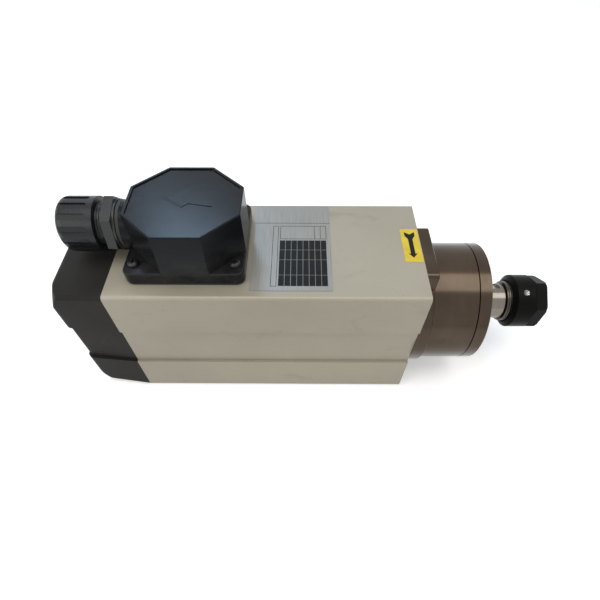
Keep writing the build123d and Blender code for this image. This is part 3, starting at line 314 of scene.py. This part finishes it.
def mottled(
    name, dark, light, scale, detail, roughness,
    low=0.3, high=0.7, metallic=0.0, specular=0.5, stretch=(1, 1, 1), depth=0.0, strength=1.0,
):
    """A material of one cloudy pattern, between two tones. Its roughness is one value, or
    two that it varies between, and its relief follows the pattern where it has a depth."""
    material, tree, shader = new_material(name)
    pattern = noise(tree, at_place(tree, stretch), scale, detail)
    colour_from(tree, shader, ramp(tree, pattern, dark, light, low, high))
    if isinstance(roughness, tuple):
        roughness_from(tree, shader, pattern, *roughness)
    else:
        shader.inputs["Roughness"].default_value = roughness
    shader.inputs["Metallic"].default_value = metallic
    shader.inputs["Specular IOR Level"].default_value = specular
    if depth:
        relief(tree, shader, pattern, depth, strength)
    return material


def slab(mesh, xs, ys, zs):
    """Adds a flat block between three pairs of limits."""
    size = Matrix.Diagonal((xs[1] - xs[0], ys[1] - ys[0], zs[1] - zs[0], 1))
    middle = Vector((sum(xs) / 2, sum(ys) / 2, sum(zs) / 2))
    made = bmesh.ops.create_cube(mesh, size=1.0, matrix=Matrix.Translation(middle) @ size)
    return made["verts"]


def round_corners(mesh, radius, steps):
    """Rounds the edges that stand along Z."""
    upright = [
        edge for edge in mesh.edges
        if abs((edge.verts[0].co - edge.verts[1].co).normalized().z) > UPRIGHT
    ]
    bmesh.ops.bevel(
        mesh, geom=upright, offset=radius, segments=steps, profile=0.5, affect="EDGES", material=-1
    )


def finished(mesh, name, material, body, smooth=False):
    """Makes a bmesh into a piece that rides on a body."""
    bmesh.ops.recalc_face_normals(mesh, faces=mesh.faces)
    data = bpy.data.meshes.new(name)
    mesh.to_mesh(data)
    mesh.free()
    data.materials.append(material)
    if smooth:
        data.polygons.foreach_set("use_smooth", [True] * len(data.polygons))
        data.set_sharp_from_angle(angle=SHARP_ANGLE)
    piece = bpy.data.objects.new(name, data)
    bpy.context.scene.collection.objects.link(piece)
    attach(piece, body)


satin_sheet = mottled(
    "satin_sheet", SATIN_DARK, SATIN_LIGHT, scale=2400, detail=3, roughness=(0.34, 0.46),
    metallic=0.35, stretch=(1, 0.02, 1), depth=BRUSHED_DEPTH,
)
plate = bmesh.new()
slab(plate, PLATE_X, PLATE_Y, (top, top + PLATE_THICKNESS))
round_corners(plate, PLATE_CORNER, PLATE_CORNER_STEPS)
finished(plate, "rating_plate", satin_sheet, "housing")

# The print on the plate: a table of solid cells, two frames and three lines
INK = (0.0055, 0.0065, 0.0075)
INK_WORN = (0.012, 0.013, 0.015)
PRINT_THICKNESS = 0.00005
TABLE_X = (0.0071, 0.0405)
TABLE_ROWS = (0.0069, -0.0030, -0.0128, -0.0273, -0.0374)
TABLE_COLUMNS = 8
TABLE_LINE = 0.00028
FRAME_LINE = 0.0003
SIDE_FRAME_X = (0.0019, 0.0059)
SIDE_FRAME_Y = (-0.0375, 0.0225)
HEAD_FRAME_X = (0.0072, 0.0405)
HEAD_FRAME_Y = (0.0084, 0.0225)
HEAD_DIVIDERS = (0.0318, 0.0361)
CROSS_LINE_Y = 0.0256
print_limits = (top + PLATE_THICKNESS, top + PLATE_THICKNESS + PRINT_THICKNESS)


def printed_frame(mesh, xs, ys, line):
    """Adds a printed frame."""
    slab(mesh, xs, (ys[0], ys[0] + line), print_limits)
    slab(mesh, xs, (ys[1] - line, ys[1]), print_limits)
    slab(mesh, (xs[0], xs[0] + line), (ys[0] + line, ys[1] - line), print_limits)
    slab(mesh, (xs[1] - line, xs[1]), (ys[0] + line, ys[1] - line), print_limits)


print_ink = mottled(
    "print_ink", INK, INK_WORN, scale=700, detail=3, roughness=0.42,
    low=0.35, high=0.75, specular=0.12,
)
table = bmesh.new()
column = (TABLE_X[1] - TABLE_X[0]) / TABLE_COLUMNS
for high, low in zip(TABLE_ROWS, TABLE_ROWS[1:]):
    for place in range(TABLE_COLUMNS):
        start = TABLE_X[0] + column * place
        slab(table, (start, start + column - TABLE_LINE), (low + TABLE_LINE, high), print_limits)
finished(table, "plate_table", print_ink, "housing")

frames = bmesh.new()
printed_frame(frames, SIDE_FRAME_X, SIDE_FRAME_Y, FRAME_LINE)
printed_frame(frames, HEAD_FRAME_X, HEAD_FRAME_Y, FRAME_LINE)
divider_y = (HEAD_FRAME_Y[0] + FRAME_LINE, HEAD_FRAME_Y[1] - FRAME_LINE)
for divider in HEAD_DIVIDERS:
    slab(frames, (divider, divider + FRAME_LINE), divider_y, print_limits)
slab(frames, PLATE_X, (CROSS_LINE_Y, CROSS_LINE_Y + FRAME_LINE), print_limits)
finished(frames, "plate_frames", print_ink, "housing")

# ---------------------------------------------------------------- rotation sign
# A yellow vinyl sticker at the front edge of the top, with a plain black feathered arrow
# printed on it, which shows which way the spindle turns.
YELLOW_DEEP = (0.60, 0.44, 0.020)
YELLOW = (0.70, 0.53, 0.035)
STICKER_X = (0.0947, 0.1073)
STICKER_Y = (-0.0141, 0.0198)
STICKER_THICKNESS = 0.00012
STICKER_CORNER = 0.0006
STICKER_CORNER_STEPS = 4
ARROW_TAIL = 0.0165
ARROW_TIP = -0.0100
ARROW_HALF_SHAFT = 0.0016
ARROW_HALF_HEAD = 0.0034
ARROW_HALF_TAIL = 0.0037
ARROW_HEAD = 0.0046
HEAD_SLANT = 0.0007
FEATHER = 0.0075
FEATHER_SLANT = 0.0036
TAIL_NOTCH = 0.0026
WELD_DISTANCE = 0.00001

vinyl = mottled("yellow_vinyl", YELLOW_DEEP, YELLOW, scale=160, detail=4, roughness=0.35)
sticker = bmesh.new()
slab(sticker, STICKER_X, STICKER_Y, (top, top + STICKER_THICKNESS))
round_corners(sticker, STICKER_CORNER, STICKER_CORNER_STEPS)
finished(sticker, "rotation_sticker", vinyl, "housing")

arrow_x = sum(STICKER_X) / 2
half_arrow = [
    (0, ARROW_TIP),
    (ARROW_HALF_HEAD, ARROW_TIP + ARROW_HEAD),
    (ARROW_HALF_SHAFT, ARROW_TIP + ARROW_HEAD - HEAD_SLANT),
    (ARROW_HALF_SHAFT, ARROW_TAIL - FEATHER),
    (ARROW_HALF_TAIL, ARROW_TAIL - FEATHER + FEATHER_SLANT),
    (ARROW_HALF_TAIL, ARROW_TAIL),
    (0, ARROW_TAIL - TAIL_NOTCH),
]
arrow = bmesh.new()
rim = [arrow.verts.new((arrow_x + x, y, top + STICKER_THICKNESS)) for x, y in half_arrow]
arrow.faces.new(rim)
bmesh.ops.mirror(
    arrow, geom=arrow.verts[:] + arrow.edges[:] + arrow.faces[:],
    matrix=Matrix.Translation((-arrow_x, 0, 0)), merge_dist=WELD_DISTANCE, axis="X",
)
raised = bmesh.ops.extrude_face_region(arrow, geom=arrow.faces[:])
lifted = [part for part in raised["geom"] if isinstance(part, bmesh.types.BMVert)]
bmesh.ops.translate(arrow, verts=lifted, vec=(0, 0, PRINT_THICKNESS))
finished(arrow, "rotation_arrow", print_ink, "housing")

# ---------------------------------------------------------------- rear cowl
# The fan cowl, screwed to the rear of the body. It is moulded in matt black nylon, a
# little brown, with a fine spark texture and a few pale rubs.
COWL_DARK = (0.0112, 0.0104, 0.0092)
COWL_LIGHT = (0.0178, 0.0163, 0.0144)
COWL_RUB = (0.055, 0.051, 0.046)
SPARK_DEPTH = 0.00006

cowl_nylon, tree, shader = new_material("cowl_nylon")
clouds = noise(tree, at_place(tree), scale=22, detail=4)
tone = ramp(tree, clouds, COWL_DARK, COWL_LIGHT)
stretched = at_place(tree, stretch=(1.6, 1, 1))
rubs = noise(tree, stretched, scale=60, detail=6, roughness=0.65, distortion=0.5)
tone = blend_colours(tree, spread(tree, rubs, 0.0, 0.35, start=0.64, end=0.8), tone, COWL_RUB)
colour_from(tree, shader, tone)
shader.inputs["Specular IOR Level"].default_value = 0.12
spark = noise(tree, at_place(tree), scale=2200, detail=3)
roughness_from(tree, shader, spark, 0.48, 0.66)
relief(tree, shader, spark, SPARK_DEPTH, strength=0.6)
dress(cowl_nylon, "rear_cowl")

# ---------------------------------------------------------------- fan
# The fan that drives air along the body, behind the cowl's grille. It is moulded in
# black nylon, grey with dust, and a screw holds it on the rear end of the shaft.
FAN_DARK = (0.02, 0.02, 0.022)
FAN_DUSTY = (0.05, 0.048, 0.045)

fan_nylon = mottled(
    "fan_nylon", FAN_DARK, FAN_DUSTY, scale=120, detail=5, roughness=(0.4, 0.65), low=0.35, high=0.8
)
dress(fan_nylon, "fan_impeller")

# ---------------------------------------------------------------- terminal box
# The hood over the terminals, screwed down at its ears. It is moulded in black
# thermoplastic with a fine grain, dusty low on its walls, and has a flash line in the
# recess of its lid.
HOOD_DARK = (0.0055, 0.0065, 0.0085)
HOOD_LIGHT = (0.0095, 0.011, 0.0135)
HOOD_SCUFF = (0.030, 0.032, 0.036)
HOOD_DUST = (0.075, 0.070, 0.062)
DUST_THICK_BELOW = 0.002
DUST_GONE_ABOVE = 0.026
HOOD_GRAIN_DEPTH = 0.00006
FLASH_LINE = ((-0.0671, 0.0048), (-0.0528, -0.0063), (-0.0493, -0.0024), (-0.0339, -0.0057))
FLASH_WIDTH = 0.0005
FLASH_LIMITS = (-0.0002, 0.0003)
LID_RECESS = 0.0008

hood_plastic, tree, shader = new_material("hood_thermoplastic")
clouds = noise(tree, at_place(tree), scale=30, detail=3)
tone = ramp(tree, clouds, HOOD_DARK, HOOD_LIGHT)
stretched = at_place(tree, stretch=(1, 1, 1.5))
scuffs = noise(tree, stretched, scale=90, detail=6, roughness=0.7, distortion=0.4)
tone = blend_colours(tree, spread(tree, scuffs, 0.0, 0.4, start=0.64, end=0.82), tone, HOOD_SCUFF)
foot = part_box("terminal_hood")[0].z
split = tree.nodes.new("ShaderNodeSeparateXYZ")
tree.links.new(at_place(tree), split.inputs[0])
low_down = spread(
    tree, split.outputs["Z"], 1.0, 0.0, start=foot + DUST_THICK_BELOW, end=foot + DUST_GONE_ABOVE
)
dust = tree.nodes.new("ShaderNodeMath")
dust.operation = "MULTIPLY"
tree.links.new(low_down, dust.inputs[0])
tree.links.new(spread(tree, scuffs, 0.05, 0.45, start=0.38, end=0.75), dust.inputs[1])
tone = blend_colours(tree, dust.outputs[0], tone, HOOD_DUST)
colour_from(tree, shader, tone)
shader.inputs["Specular IOR Level"].default_value = 0.115
grain = noise(tree, at_place(tree), scale=1900, detail=3)
roughness_from(tree, shader, grain, 0.16, 0.27)
relief(tree, shader, grain, HOOD_GRAIN_DEPTH, strength=0.55)
dress(hood_plastic, "terminal_hood")

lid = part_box("terminal_hood")[1].z - LID_RECESS
flash = bmesh.new()
for start, end in zip(FLASH_LINE, FLASH_LINE[1:]):
    stroke = Vector(end) - Vector(start)
    along = (-stroke.length / 2, stroke.length / 2)
    made = slab(flash, along, (-FLASH_WIDTH / 2, FLASH_WIDTH / 2), FLASH_LIMITS)
    middle = (Vector(start) + Vector(end)) / 2
    turn = Matrix.Rotation(math.atan2(stroke.y, stroke.x), 4, "Z")
    bmesh.ops.transform(flash, matrix=Matrix.Translation((*middle, lid)) @ turn, verts=made)
finished(flash, "lid_flash_line", hood_plastic, "housing")

# ---------------------------------------------------------------- rubber pieces
# The gasket under the hood, the grommet round the leads, and the gland's washer and
# seal. They are moulded in black rubber, dull and faintly bloomed.
RUBBER = (0.008, 0.008, 0.008)
RUBBER_BLOOM = (0.020, 0.019, 0.018)

bloomed_rubber = mottled(
    "bloomed_rubber", RUBBER, RUBBER_BLOOM, scale=140, detail=5, roughness=(0.55, 0.75), high=0.75
)
dress(bloomed_rubber, "terminal_gasket", "lead_grommet", "gland_washer", "gland_seal")

# ---------------------------------------------------------------- cable gland
# The gland in the hood's wall, which grips the cable. Its two nuts are moulded in black
# nylon, smoother than the hood; its hexagon body is a greyer one, made lighter as a painted highlight.
GLAND_DARK = (0.0052, 0.0064, 0.0078)
GLAND_LIGHT = (0.0100, 0.0115, 0.0134)
GREY_PAINTED_HIGHLIGHT_DARK = (0.028, 0.029, 0.030)
GREY_PAINTED_HIGHLIGHT_LIGHT = (0.044, 0.045, 0.046)
GLAND_SKIN_DEPTH = 0.00001


def gland_moulding(name, dark, light):
    """Smooth moulded nylon, a little cloudy."""
    material, tree, shader = new_material(name)
    clouds = noise(tree, at_place(tree), scale=60, detail=4)
    colour_from(tree, shader, ramp(tree, clouds, dark, light, high=0.75))
    shader.inputs["Specular IOR Level"].default_value = 0.3
    fine = noise(tree, at_place(tree), scale=1500, detail=2)
    roughness_from(tree, shader, fine, 0.24, 0.32)
    relief(tree, shader, fine, GLAND_SKIN_DEPTH, strength=0.25)
    return material


gland_nylon = gland_moulding("gland_nylon", GLAND_DARK, GLAND_LIGHT)
dress(gland_nylon, "gland_locknut", "gland_dome_nut")
# The hexagon body: a greyer nylon, lighter still as a painted highlight
dress(gland_moulding("grey_nylon_painted_highlight", GREY_PAINTED_HIGHLIGHT_DARK, GREY_PAINTED_HIGHLIGHT_LIGHT), "gland_body")

# The gland's thread, 1.5 mm pitch, shows between its hexagon and the dome nut
GLAND_AXIS = 0.1331
GLAND_PITCH = 0.0015
GLAND_THREAD_START = -0.1239
GLAND_THREAD_TURNS = 12
GLAND_ROOT = 0.01418
GLAND_CREST = 0.01442
STEPS_A_TURN = 48
RIDGE_FOOT = 0.04
RIDGE_SHOULDER = 0.36


def wound_ridge(mesh, start, pitch, turns, root, crest, height):
    """Adds a thread's ridge, wound along X about an axis at this height."""
    profile = (
        (RIDGE_FOOT, root), (RIDGE_SHOULDER, crest), (1 - RIDGE_SHOULDER, crest), (1 - RIDGE_FOOT, root)
    )
    corners = [mesh.verts.new((start + pitch * share, 0, height + radius)) for share, radius in profile]
    bmesh.ops.spin(
        mesh, geom=[mesh.faces.new(corners)], cent=(0, 0, height), axis=(1, 0, 0),
        dvec=(pitch / STEPS_A_TURN, 0, 0), angle=2 * math.pi * turns, steps=STEPS_A_TURN * turns,
    )


gland_thread = bmesh.new()
wound_ridge(
    gland_thread, GLAND_THREAD_START, GLAND_PITCH, GLAND_THREAD_TURNS,
    GLAND_ROOT, GLAND_CREST, GLAND_AXIS,
)
finished(gland_thread, "gland_thread", gland_nylon, "housing", smooth=True)

# ---------------------------------------------------------------- flange, nose and cap
# The front flange with its nose, bolted to the body, and the cap screwed on before it.
# Both are turned and ground steel, a little brown. Their marks are rings, which follow
# the distance along the axis and the distance from it. A dark band of painted shade lies along the
# seam.
GROUND_DARK = (0.060, 0.045, 0.033)
GROUND_LIGHT = (0.090, 0.069, 0.051)
GROUND_DEPTH = 0.000004
SEAM_PAINTED_SHADE = (0.004, 0.003, 0.0025)
SEAM_HALF_WIDTH = 0.00042
RING_SHADE = (0.78, 0.78, 0.78)
RING_BLEND = 0.6
STAIN_SHARE = 0.45
SMOOTHEST = 0.8
DULLEST = 1.25
axis_height = (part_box("nose_cap")[0].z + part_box("nose_cap")[1].z) / 2


def turned_coordinates(tree, along, around, out):
    """Coordinates for turned work: along the axis, round it and out from it."""
    where = tree.nodes.new("ShaderNodeTexCoord")
    centre = tree.nodes.new("ShaderNodeVectorMath")
    centre.operation = "SUBTRACT"
    centre.inputs[1].default_value = (0, 0, axis_height)
    tree.links.new(where.outputs["Object"], centre.inputs[0])
    split = tree.nodes.new("ShaderNodeSeparateXYZ")
    tree.links.new(centre.outputs[0], split.inputs[0])
    flat = tree.nodes.new("ShaderNodeCombineXYZ")
    tree.links.new(split.outputs["Y"], flat.inputs["Y"])
    tree.links.new(split.outputs["Z"], flat.inputs["Z"])
    radius = tree.nodes.new("ShaderNodeVectorMath")
    radius.operation = "LENGTH"
    tree.links.new(flat.outputs[0], radius.inputs[0])
    angle = tree.nodes.new("ShaderNodeMath")
    angle.operation = "ARCTAN2"
    tree.links.new(split.outputs["Z"], angle.inputs[0])
    tree.links.new(split.outputs["Y"], angle.inputs[1])
    joined = tree.nodes.new("ShaderNodeCombineXYZ")
    scaled = (
        ("X", split.outputs["X"], along),
        ("Y", angle.outputs[0], around),
        ("Z", radius.outputs["Value"], out),
    )
    for socket, value, scale in scaled:
        times = tree.nodes.new("ShaderNodeMath")
        times.operation = "MULTIPLY"
        times.inputs[1].default_value = scale
        tree.links.new(value, times.inputs[0])
        tree.links.new(times.outputs[0], joined.inputs[socket])
    return joined.outputs[0]


def turned_steel(name, dark, light, roughness, ring_depth, stain=0.0, painted_shade_ring=None):
    """Turned or ground steel: fine rings, cloudy tone, a few stains and a band of painted
    shade, which is given by the middle of its length, half its length and its colour."""
    material, tree, shader = new_material(name)
    ring_place = turned_coordinates(tree, along=2600, around=0.6, out=2600)
    rings = noise(tree, ring_place, scale=1.0, detail=3, roughness=0.6)
    clouds = noise(tree, at_place(tree), scale=26, detail=4)
    tone = ramp(tree, clouds, dark, light)
    ringed = ramp(tree, rings, RING_SHADE, WHITE, low=0.25, high=0.75)
    tone = blend_colours(tree, RING_BLEND, tone, ringed, "MULTIPLY")
    if stain:
        spots = noise(tree, at_place(tree), scale=75, detail=6, roughness=0.7)
        share = spread(tree, spots, 0.0, stain, start=0.58, end=0.75)
        tone = blend_colours(tree, share, tone, tuple(part * STAIN_SHARE for part in dark))
    # A band along the axis, darkened as painted shade
    if painted_shade_ring:
        middle, half_length, shade_colour = painted_shade_ring
        split = tree.nodes.new("ShaderNodeSeparateXYZ")
        tree.links.new(at_place(tree), split.inputs[0])
        shade_band = tree.nodes.new("ShaderNodeMath")
        shade_band.operation = "COMPARE"
        shade_band.inputs[1].default_value = middle
        shade_band.inputs[2].default_value = half_length
        tree.links.new(split.outputs["X"], shade_band.inputs[0])
        tone = blend_colours(tree, shade_band.outputs[0], tone, shade_colour)
    colour_from(tree, shader, tone)
    shader.inputs["Metallic"].default_value = 1.0
    roughness_from(tree, shader, rings, roughness * SMOOTHEST, roughness * DULLEST)
    relief(tree, shader, rings, ring_depth, strength=0.5)
    return material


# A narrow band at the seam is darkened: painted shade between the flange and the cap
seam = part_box("front_flange")[1].x
ground_steel = turned_steel(
    "ground_steel", GROUND_DARK, GROUND_LIGHT, roughness=0.17, ring_depth=GROUND_DEPTH,
    stain=0.35, painted_shade_ring=(seam, SEAM_HALF_WIDTH, SEAM_PAINTED_SHADE),
)
dress(ground_steel, "front_flange", "nose_cap")

# ---------------------------------------------------------------- shaft and its rings
# The shaft is turned from one bar and ground bright, and the collet, spacers, locknut
# and slinger with it. The head that takes the nut is painted dark brown, as shade inside the nut's
# recess.
BRIGHT_DARK = (0.165, 0.146, 0.124)
BRIGHT_LIGHT = (0.245, 0.220, 0.190)
BRIGHT_ROUGHNESS = 0.18
BRIGHT_DEPTH = 0.000006
BRIGHT_STAIN = 0.3
HEAD_PAINTED_SHADE = (0.075, 0.065, 0.055)
HEAD_SHADE_MIDDLE = 0.1941
HEAD_SHADE_HALF_LENGTH = 0.0104

bright_steel = turned_steel(
    "bright_steel", BRIGHT_DARK, BRIGHT_LIGHT, BRIGHT_ROUGHNESS, BRIGHT_DEPTH, BRIGHT_STAIN
)
dress(
    bright_steel, "collet", "extractor_ring", "outer_spacer", "inner_spacer",
    "bearing_locknut", "slinger", "preload_spring",
)
# The shaft's head is darkened as painted shade, where it lies in the nut's recess
shaft_steel = turned_steel(
    "shaft_steel", BRIGHT_DARK, BRIGHT_LIGHT, BRIGHT_ROUGHNESS, BRIGHT_DEPTH, BRIGHT_STAIN,
    painted_shade_ring=(HEAD_SHADE_MIDDLE, HEAD_SHADE_HALF_LENGTH, HEAD_PAINTED_SHADE),
)
dress(shaft_steel, "shaft")

# The shaft's nut thread, 1.5 mm pitch, cut all along its head and painted dark as shade in the nut's
# recess
THREAD_PAINTED_SHADE_DARK = (0.060, 0.052, 0.044)
THREAD_PAINTED_SHADE_LIGHT = (0.105, 0.092, 0.078)
THREAD_RING_DEPTH = 0.000004
THREAD_PITCH = 0.0015
THREAD_START = 0.1848
THREAD_TURNS = 11
THREAD_ROOT = 0.01588
THREAD_CREST = 0.01612

head_thread = bmesh.new()
wound_ridge(
    head_thread, THREAD_START, THREAD_PITCH, THREAD_TURNS, THREAD_ROOT, THREAD_CREST, axis_height
)
# A darker copy of the shaft's steel: painted shade on the thread inside the nut
painted_shade_thread_steel = turned_steel(
    "painted_shade_thread_steel", THREAD_PAINTED_SHADE_DARK, THREAD_PAINTED_SHADE_LIGHT, roughness=0.28, ring_depth=THREAD_RING_DEPTH
)
finished(head_thread, "head_thread", painted_shade_thread_steel, "rotor", smooth=True)

# ---------------------------------------------------------------- collet nut
# The nut that closes the collet: steel, turned and blacked, and screwed on the shaft's
# head. The balance drilling is cut after the blacking, so its cone is bare.
OXIDE_DARK = (0.0038, 0.0044, 0.0036)
OXIDE_LIGHT = (0.0075, 0.0082, 0.0070)
OXIDE_DEPTH = 0.000006
BARE_DARK = (0.28, 0.27, 0.25)
BARE_LIGHT = (0.37, 0.36, 0.34)
BARE_DEPTH = 0.000004
NUT_RADIUS = 0.021
DRILL_ANGLE = math.radians(114)
DRILL_X = 0.1968
DRILL_RADIUS = 0.00225
DRILL_TIP_RADIUS = 0.00002
DRILL_DEPTH = 0.00182
DRILL_SINK = 0.00003
DRILL_SEGMENTS = 40
BARE_SKIN = 0.00001

black_oxide = turned_steel(
    "black_oxide", OXIDE_DARK, OXIDE_LIGHT, roughness=0.34, ring_depth=OXIDE_DEPTH
)
oxide_shader = black_oxide.node_tree.nodes["Principled BSDF"]
oxide_shader.inputs["Metallic"].default_value = 0.0
oxide_shader.inputs["Specular IOR Level"].default_value = 0.055
dress(black_oxide, "collet_nut")

drilling = bmesh.new()
outward = Vector((0, math.cos(DRILL_ANGLE), math.sin(DRILL_ANGLE)))
drill_turn = outward.to_track_quat("Z", "X").to_matrix().to_4x4()
drill_reach = NUT_RADIUS - DRILL_DEPTH / 2 - DRILL_SINK
drill_middle = Vector((DRILL_X, 0, axis_height)) + outward * drill_reach
bmesh.ops.create_cone(
    drilling, cap_ends=False, segments=DRILL_SEGMENTS, radius1=DRILL_TIP_RADIUS,
    radius2=DRILL_RADIUS, depth=DRILL_DEPTH, matrix=Matrix.Translation(drill_middle) @ drill_turn,
)
bmesh.ops.solidify(drilling, geom=drilling.faces[:], thickness=BARE_SKIN)
bare_steel = turned_steel("bare_steel", BARE_DARK, BARE_LIGHT, roughness=0.25, ring_depth=BARE_DEPTH)
finished(drilling, "balance_drilling", bare_steel, "nut", smooth=True)

# ---------------------------------------------------------------- bearings
# Ball bearings, two at the nose and one at the rear, pressed on the shaft and into their
# seats. Races and balls are hardened steel, ground and polished.
RACE_DARK = (0.62, 0.62, 0.62)
RACE_LIGHT = (0.72, 0.72, 0.72)

race_steel = mottled(
    "race_steel", RACE_DARK, RACE_LIGHT, scale=300, detail=2, roughness=(0.08, 0.16), metallic=1.0
)
for bearing in ("front_bearing", "second_bearing", "rear_bearing"):
    dress(race_steel, f"{bearing}_outer_race", f"{bearing}_inner_race", f"{bearing}_balls")

# ---------------------------------------------------------------- screws
# Black steel socket screws hold the flange, the cap, the cowl and the hood. The screws
# inside, at the rear shield, the fan and the terminal block, are zinc-plated.
BLACKED = (0.010, 0.010, 0.010)
BLACKED_RUBBED = (0.026, 0.026, 0.025)
ZINC_DARK = (0.50, 0.51, 0.50)
ZINC_LIGHT = (0.66, 0.66, 0.63)

black_screw = mottled(
    "blackened_screw", BLACKED, BLACKED_RUBBED, scale=500, detail=4, roughness=(0.3, 0.45),
    low=0.35, high=0.8, metallic=0.35,
)
dress(black_screw, "cowl_screws", "flange_bolts", "cap_screws", "hood_screws")
zinc_plate = mottled(
    "zinc_plate", ZINC_DARK, ZINC_LIGHT, scale=420, detail=4, roughness=(0.25, 0.4),
    high=0.75, metallic=1.0,
)
dress(zinc_plate, "shield_screws", "fan_screw", "block_screws")

# ---------------------------------------------------------------- stator and rotor
# Both are stacks of steel laminations. The stator's slots hold varnished copper windings,
# and the rotor's cage is cast in aluminium alloy, as is the rear shield.
LAMINATION_DARK = (0.10, 0.10, 0.105)
LAMINATION_LIGHT = (0.22, 0.22, 0.225)
LAMINATION_DEPTH = 0.00003
COPPER_DARK = (0.20, 0.06, 0.02)
COPPER_LIGHT = (0.42, 0.16, 0.06)
WIRE_DEPTH = 0.0003
CAST_DARK = (0.46, 0.46, 0.45)
CAST_LIGHT = (0.58, 0.58, 0.57)
CAST_DEPTH = 0.00005

laminations, tree, shader = new_material("laminations")
sheets = noise(tree, turned_coordinates(tree, along=3000, around=0.1, out=20), scale=1.0, detail=1)
colour_from(tree, shader, ramp(tree, sheets, LAMINATION_DARK, LAMINATION_LIGHT, low=0.35, high=0.65))
shader.inputs["Metallic"].default_value = 0.9
shader.inputs["Roughness"].default_value = 0.5
relief(tree, shader, sheets, LAMINATION_DEPTH)
dress(laminations, "stator_core", "rotor_core")

windings, tree, shader = new_material("varnished_windings")
turns = noise(tree, turned_coordinates(tree, along=700, around=2, out=700), scale=1.0, detail=2)
colour_from(tree, shader, ramp(tree, turns, COPPER_DARK, COPPER_LIGHT))
shader.inputs["Roughness"].default_value = 0.3
relief(tree, shader, turns, WIRE_DEPTH)
dress(windings, "stator_windings")

cast_alloy = mottled(
    "cast_alloy", CAST_DARK, CAST_LIGHT, scale=600, detail=4, roughness=(0.42, 0.58),
    metallic=0.85, depth=CAST_DEPTH, strength=0.5,
)
dress(cast_alloy, "rear_shield", "rotor_cage")

# ---------------------------------------------------------------- terminals
# A moulded cream block, screwed down under the hood, with its brass clamps, the brass
# earth screw, and the motor's leads in red braided sleeves.
CREAM_DARK = (0.62, 0.58, 0.48)
CREAM_LIGHT = (0.72, 0.69, 0.60)
BRASS_DARK = (0.48, 0.33, 0.13)
BRASS_LIGHT = (0.68, 0.50, 0.23)
SLEEVE_DARK = (0.20, 0.02, 0.015)
SLEEVE_LIGHT = (0.34, 0.05, 0.035)

cream_block = mottled("cream_moulding", CREAM_DARK, CREAM_LIGHT, scale=200, detail=3, roughness=0.5)
dress(cream_block, "terminal_block")
plain_brass = mottled(
    "plain_brass", BRASS_DARK, BRASS_LIGHT, scale=300, detail=4, roughness=(0.25, 0.45), metallic=1.0
)
dress(plain_brass, "terminal_clamps", "earth_screw")
red_sleeve = mottled("red_sleeve", SLEEVE_DARK, SLEEVE_LIGHT, scale=1500, detail=1, roughness=0.6)
dress(red_sleeve, "motor_leads")
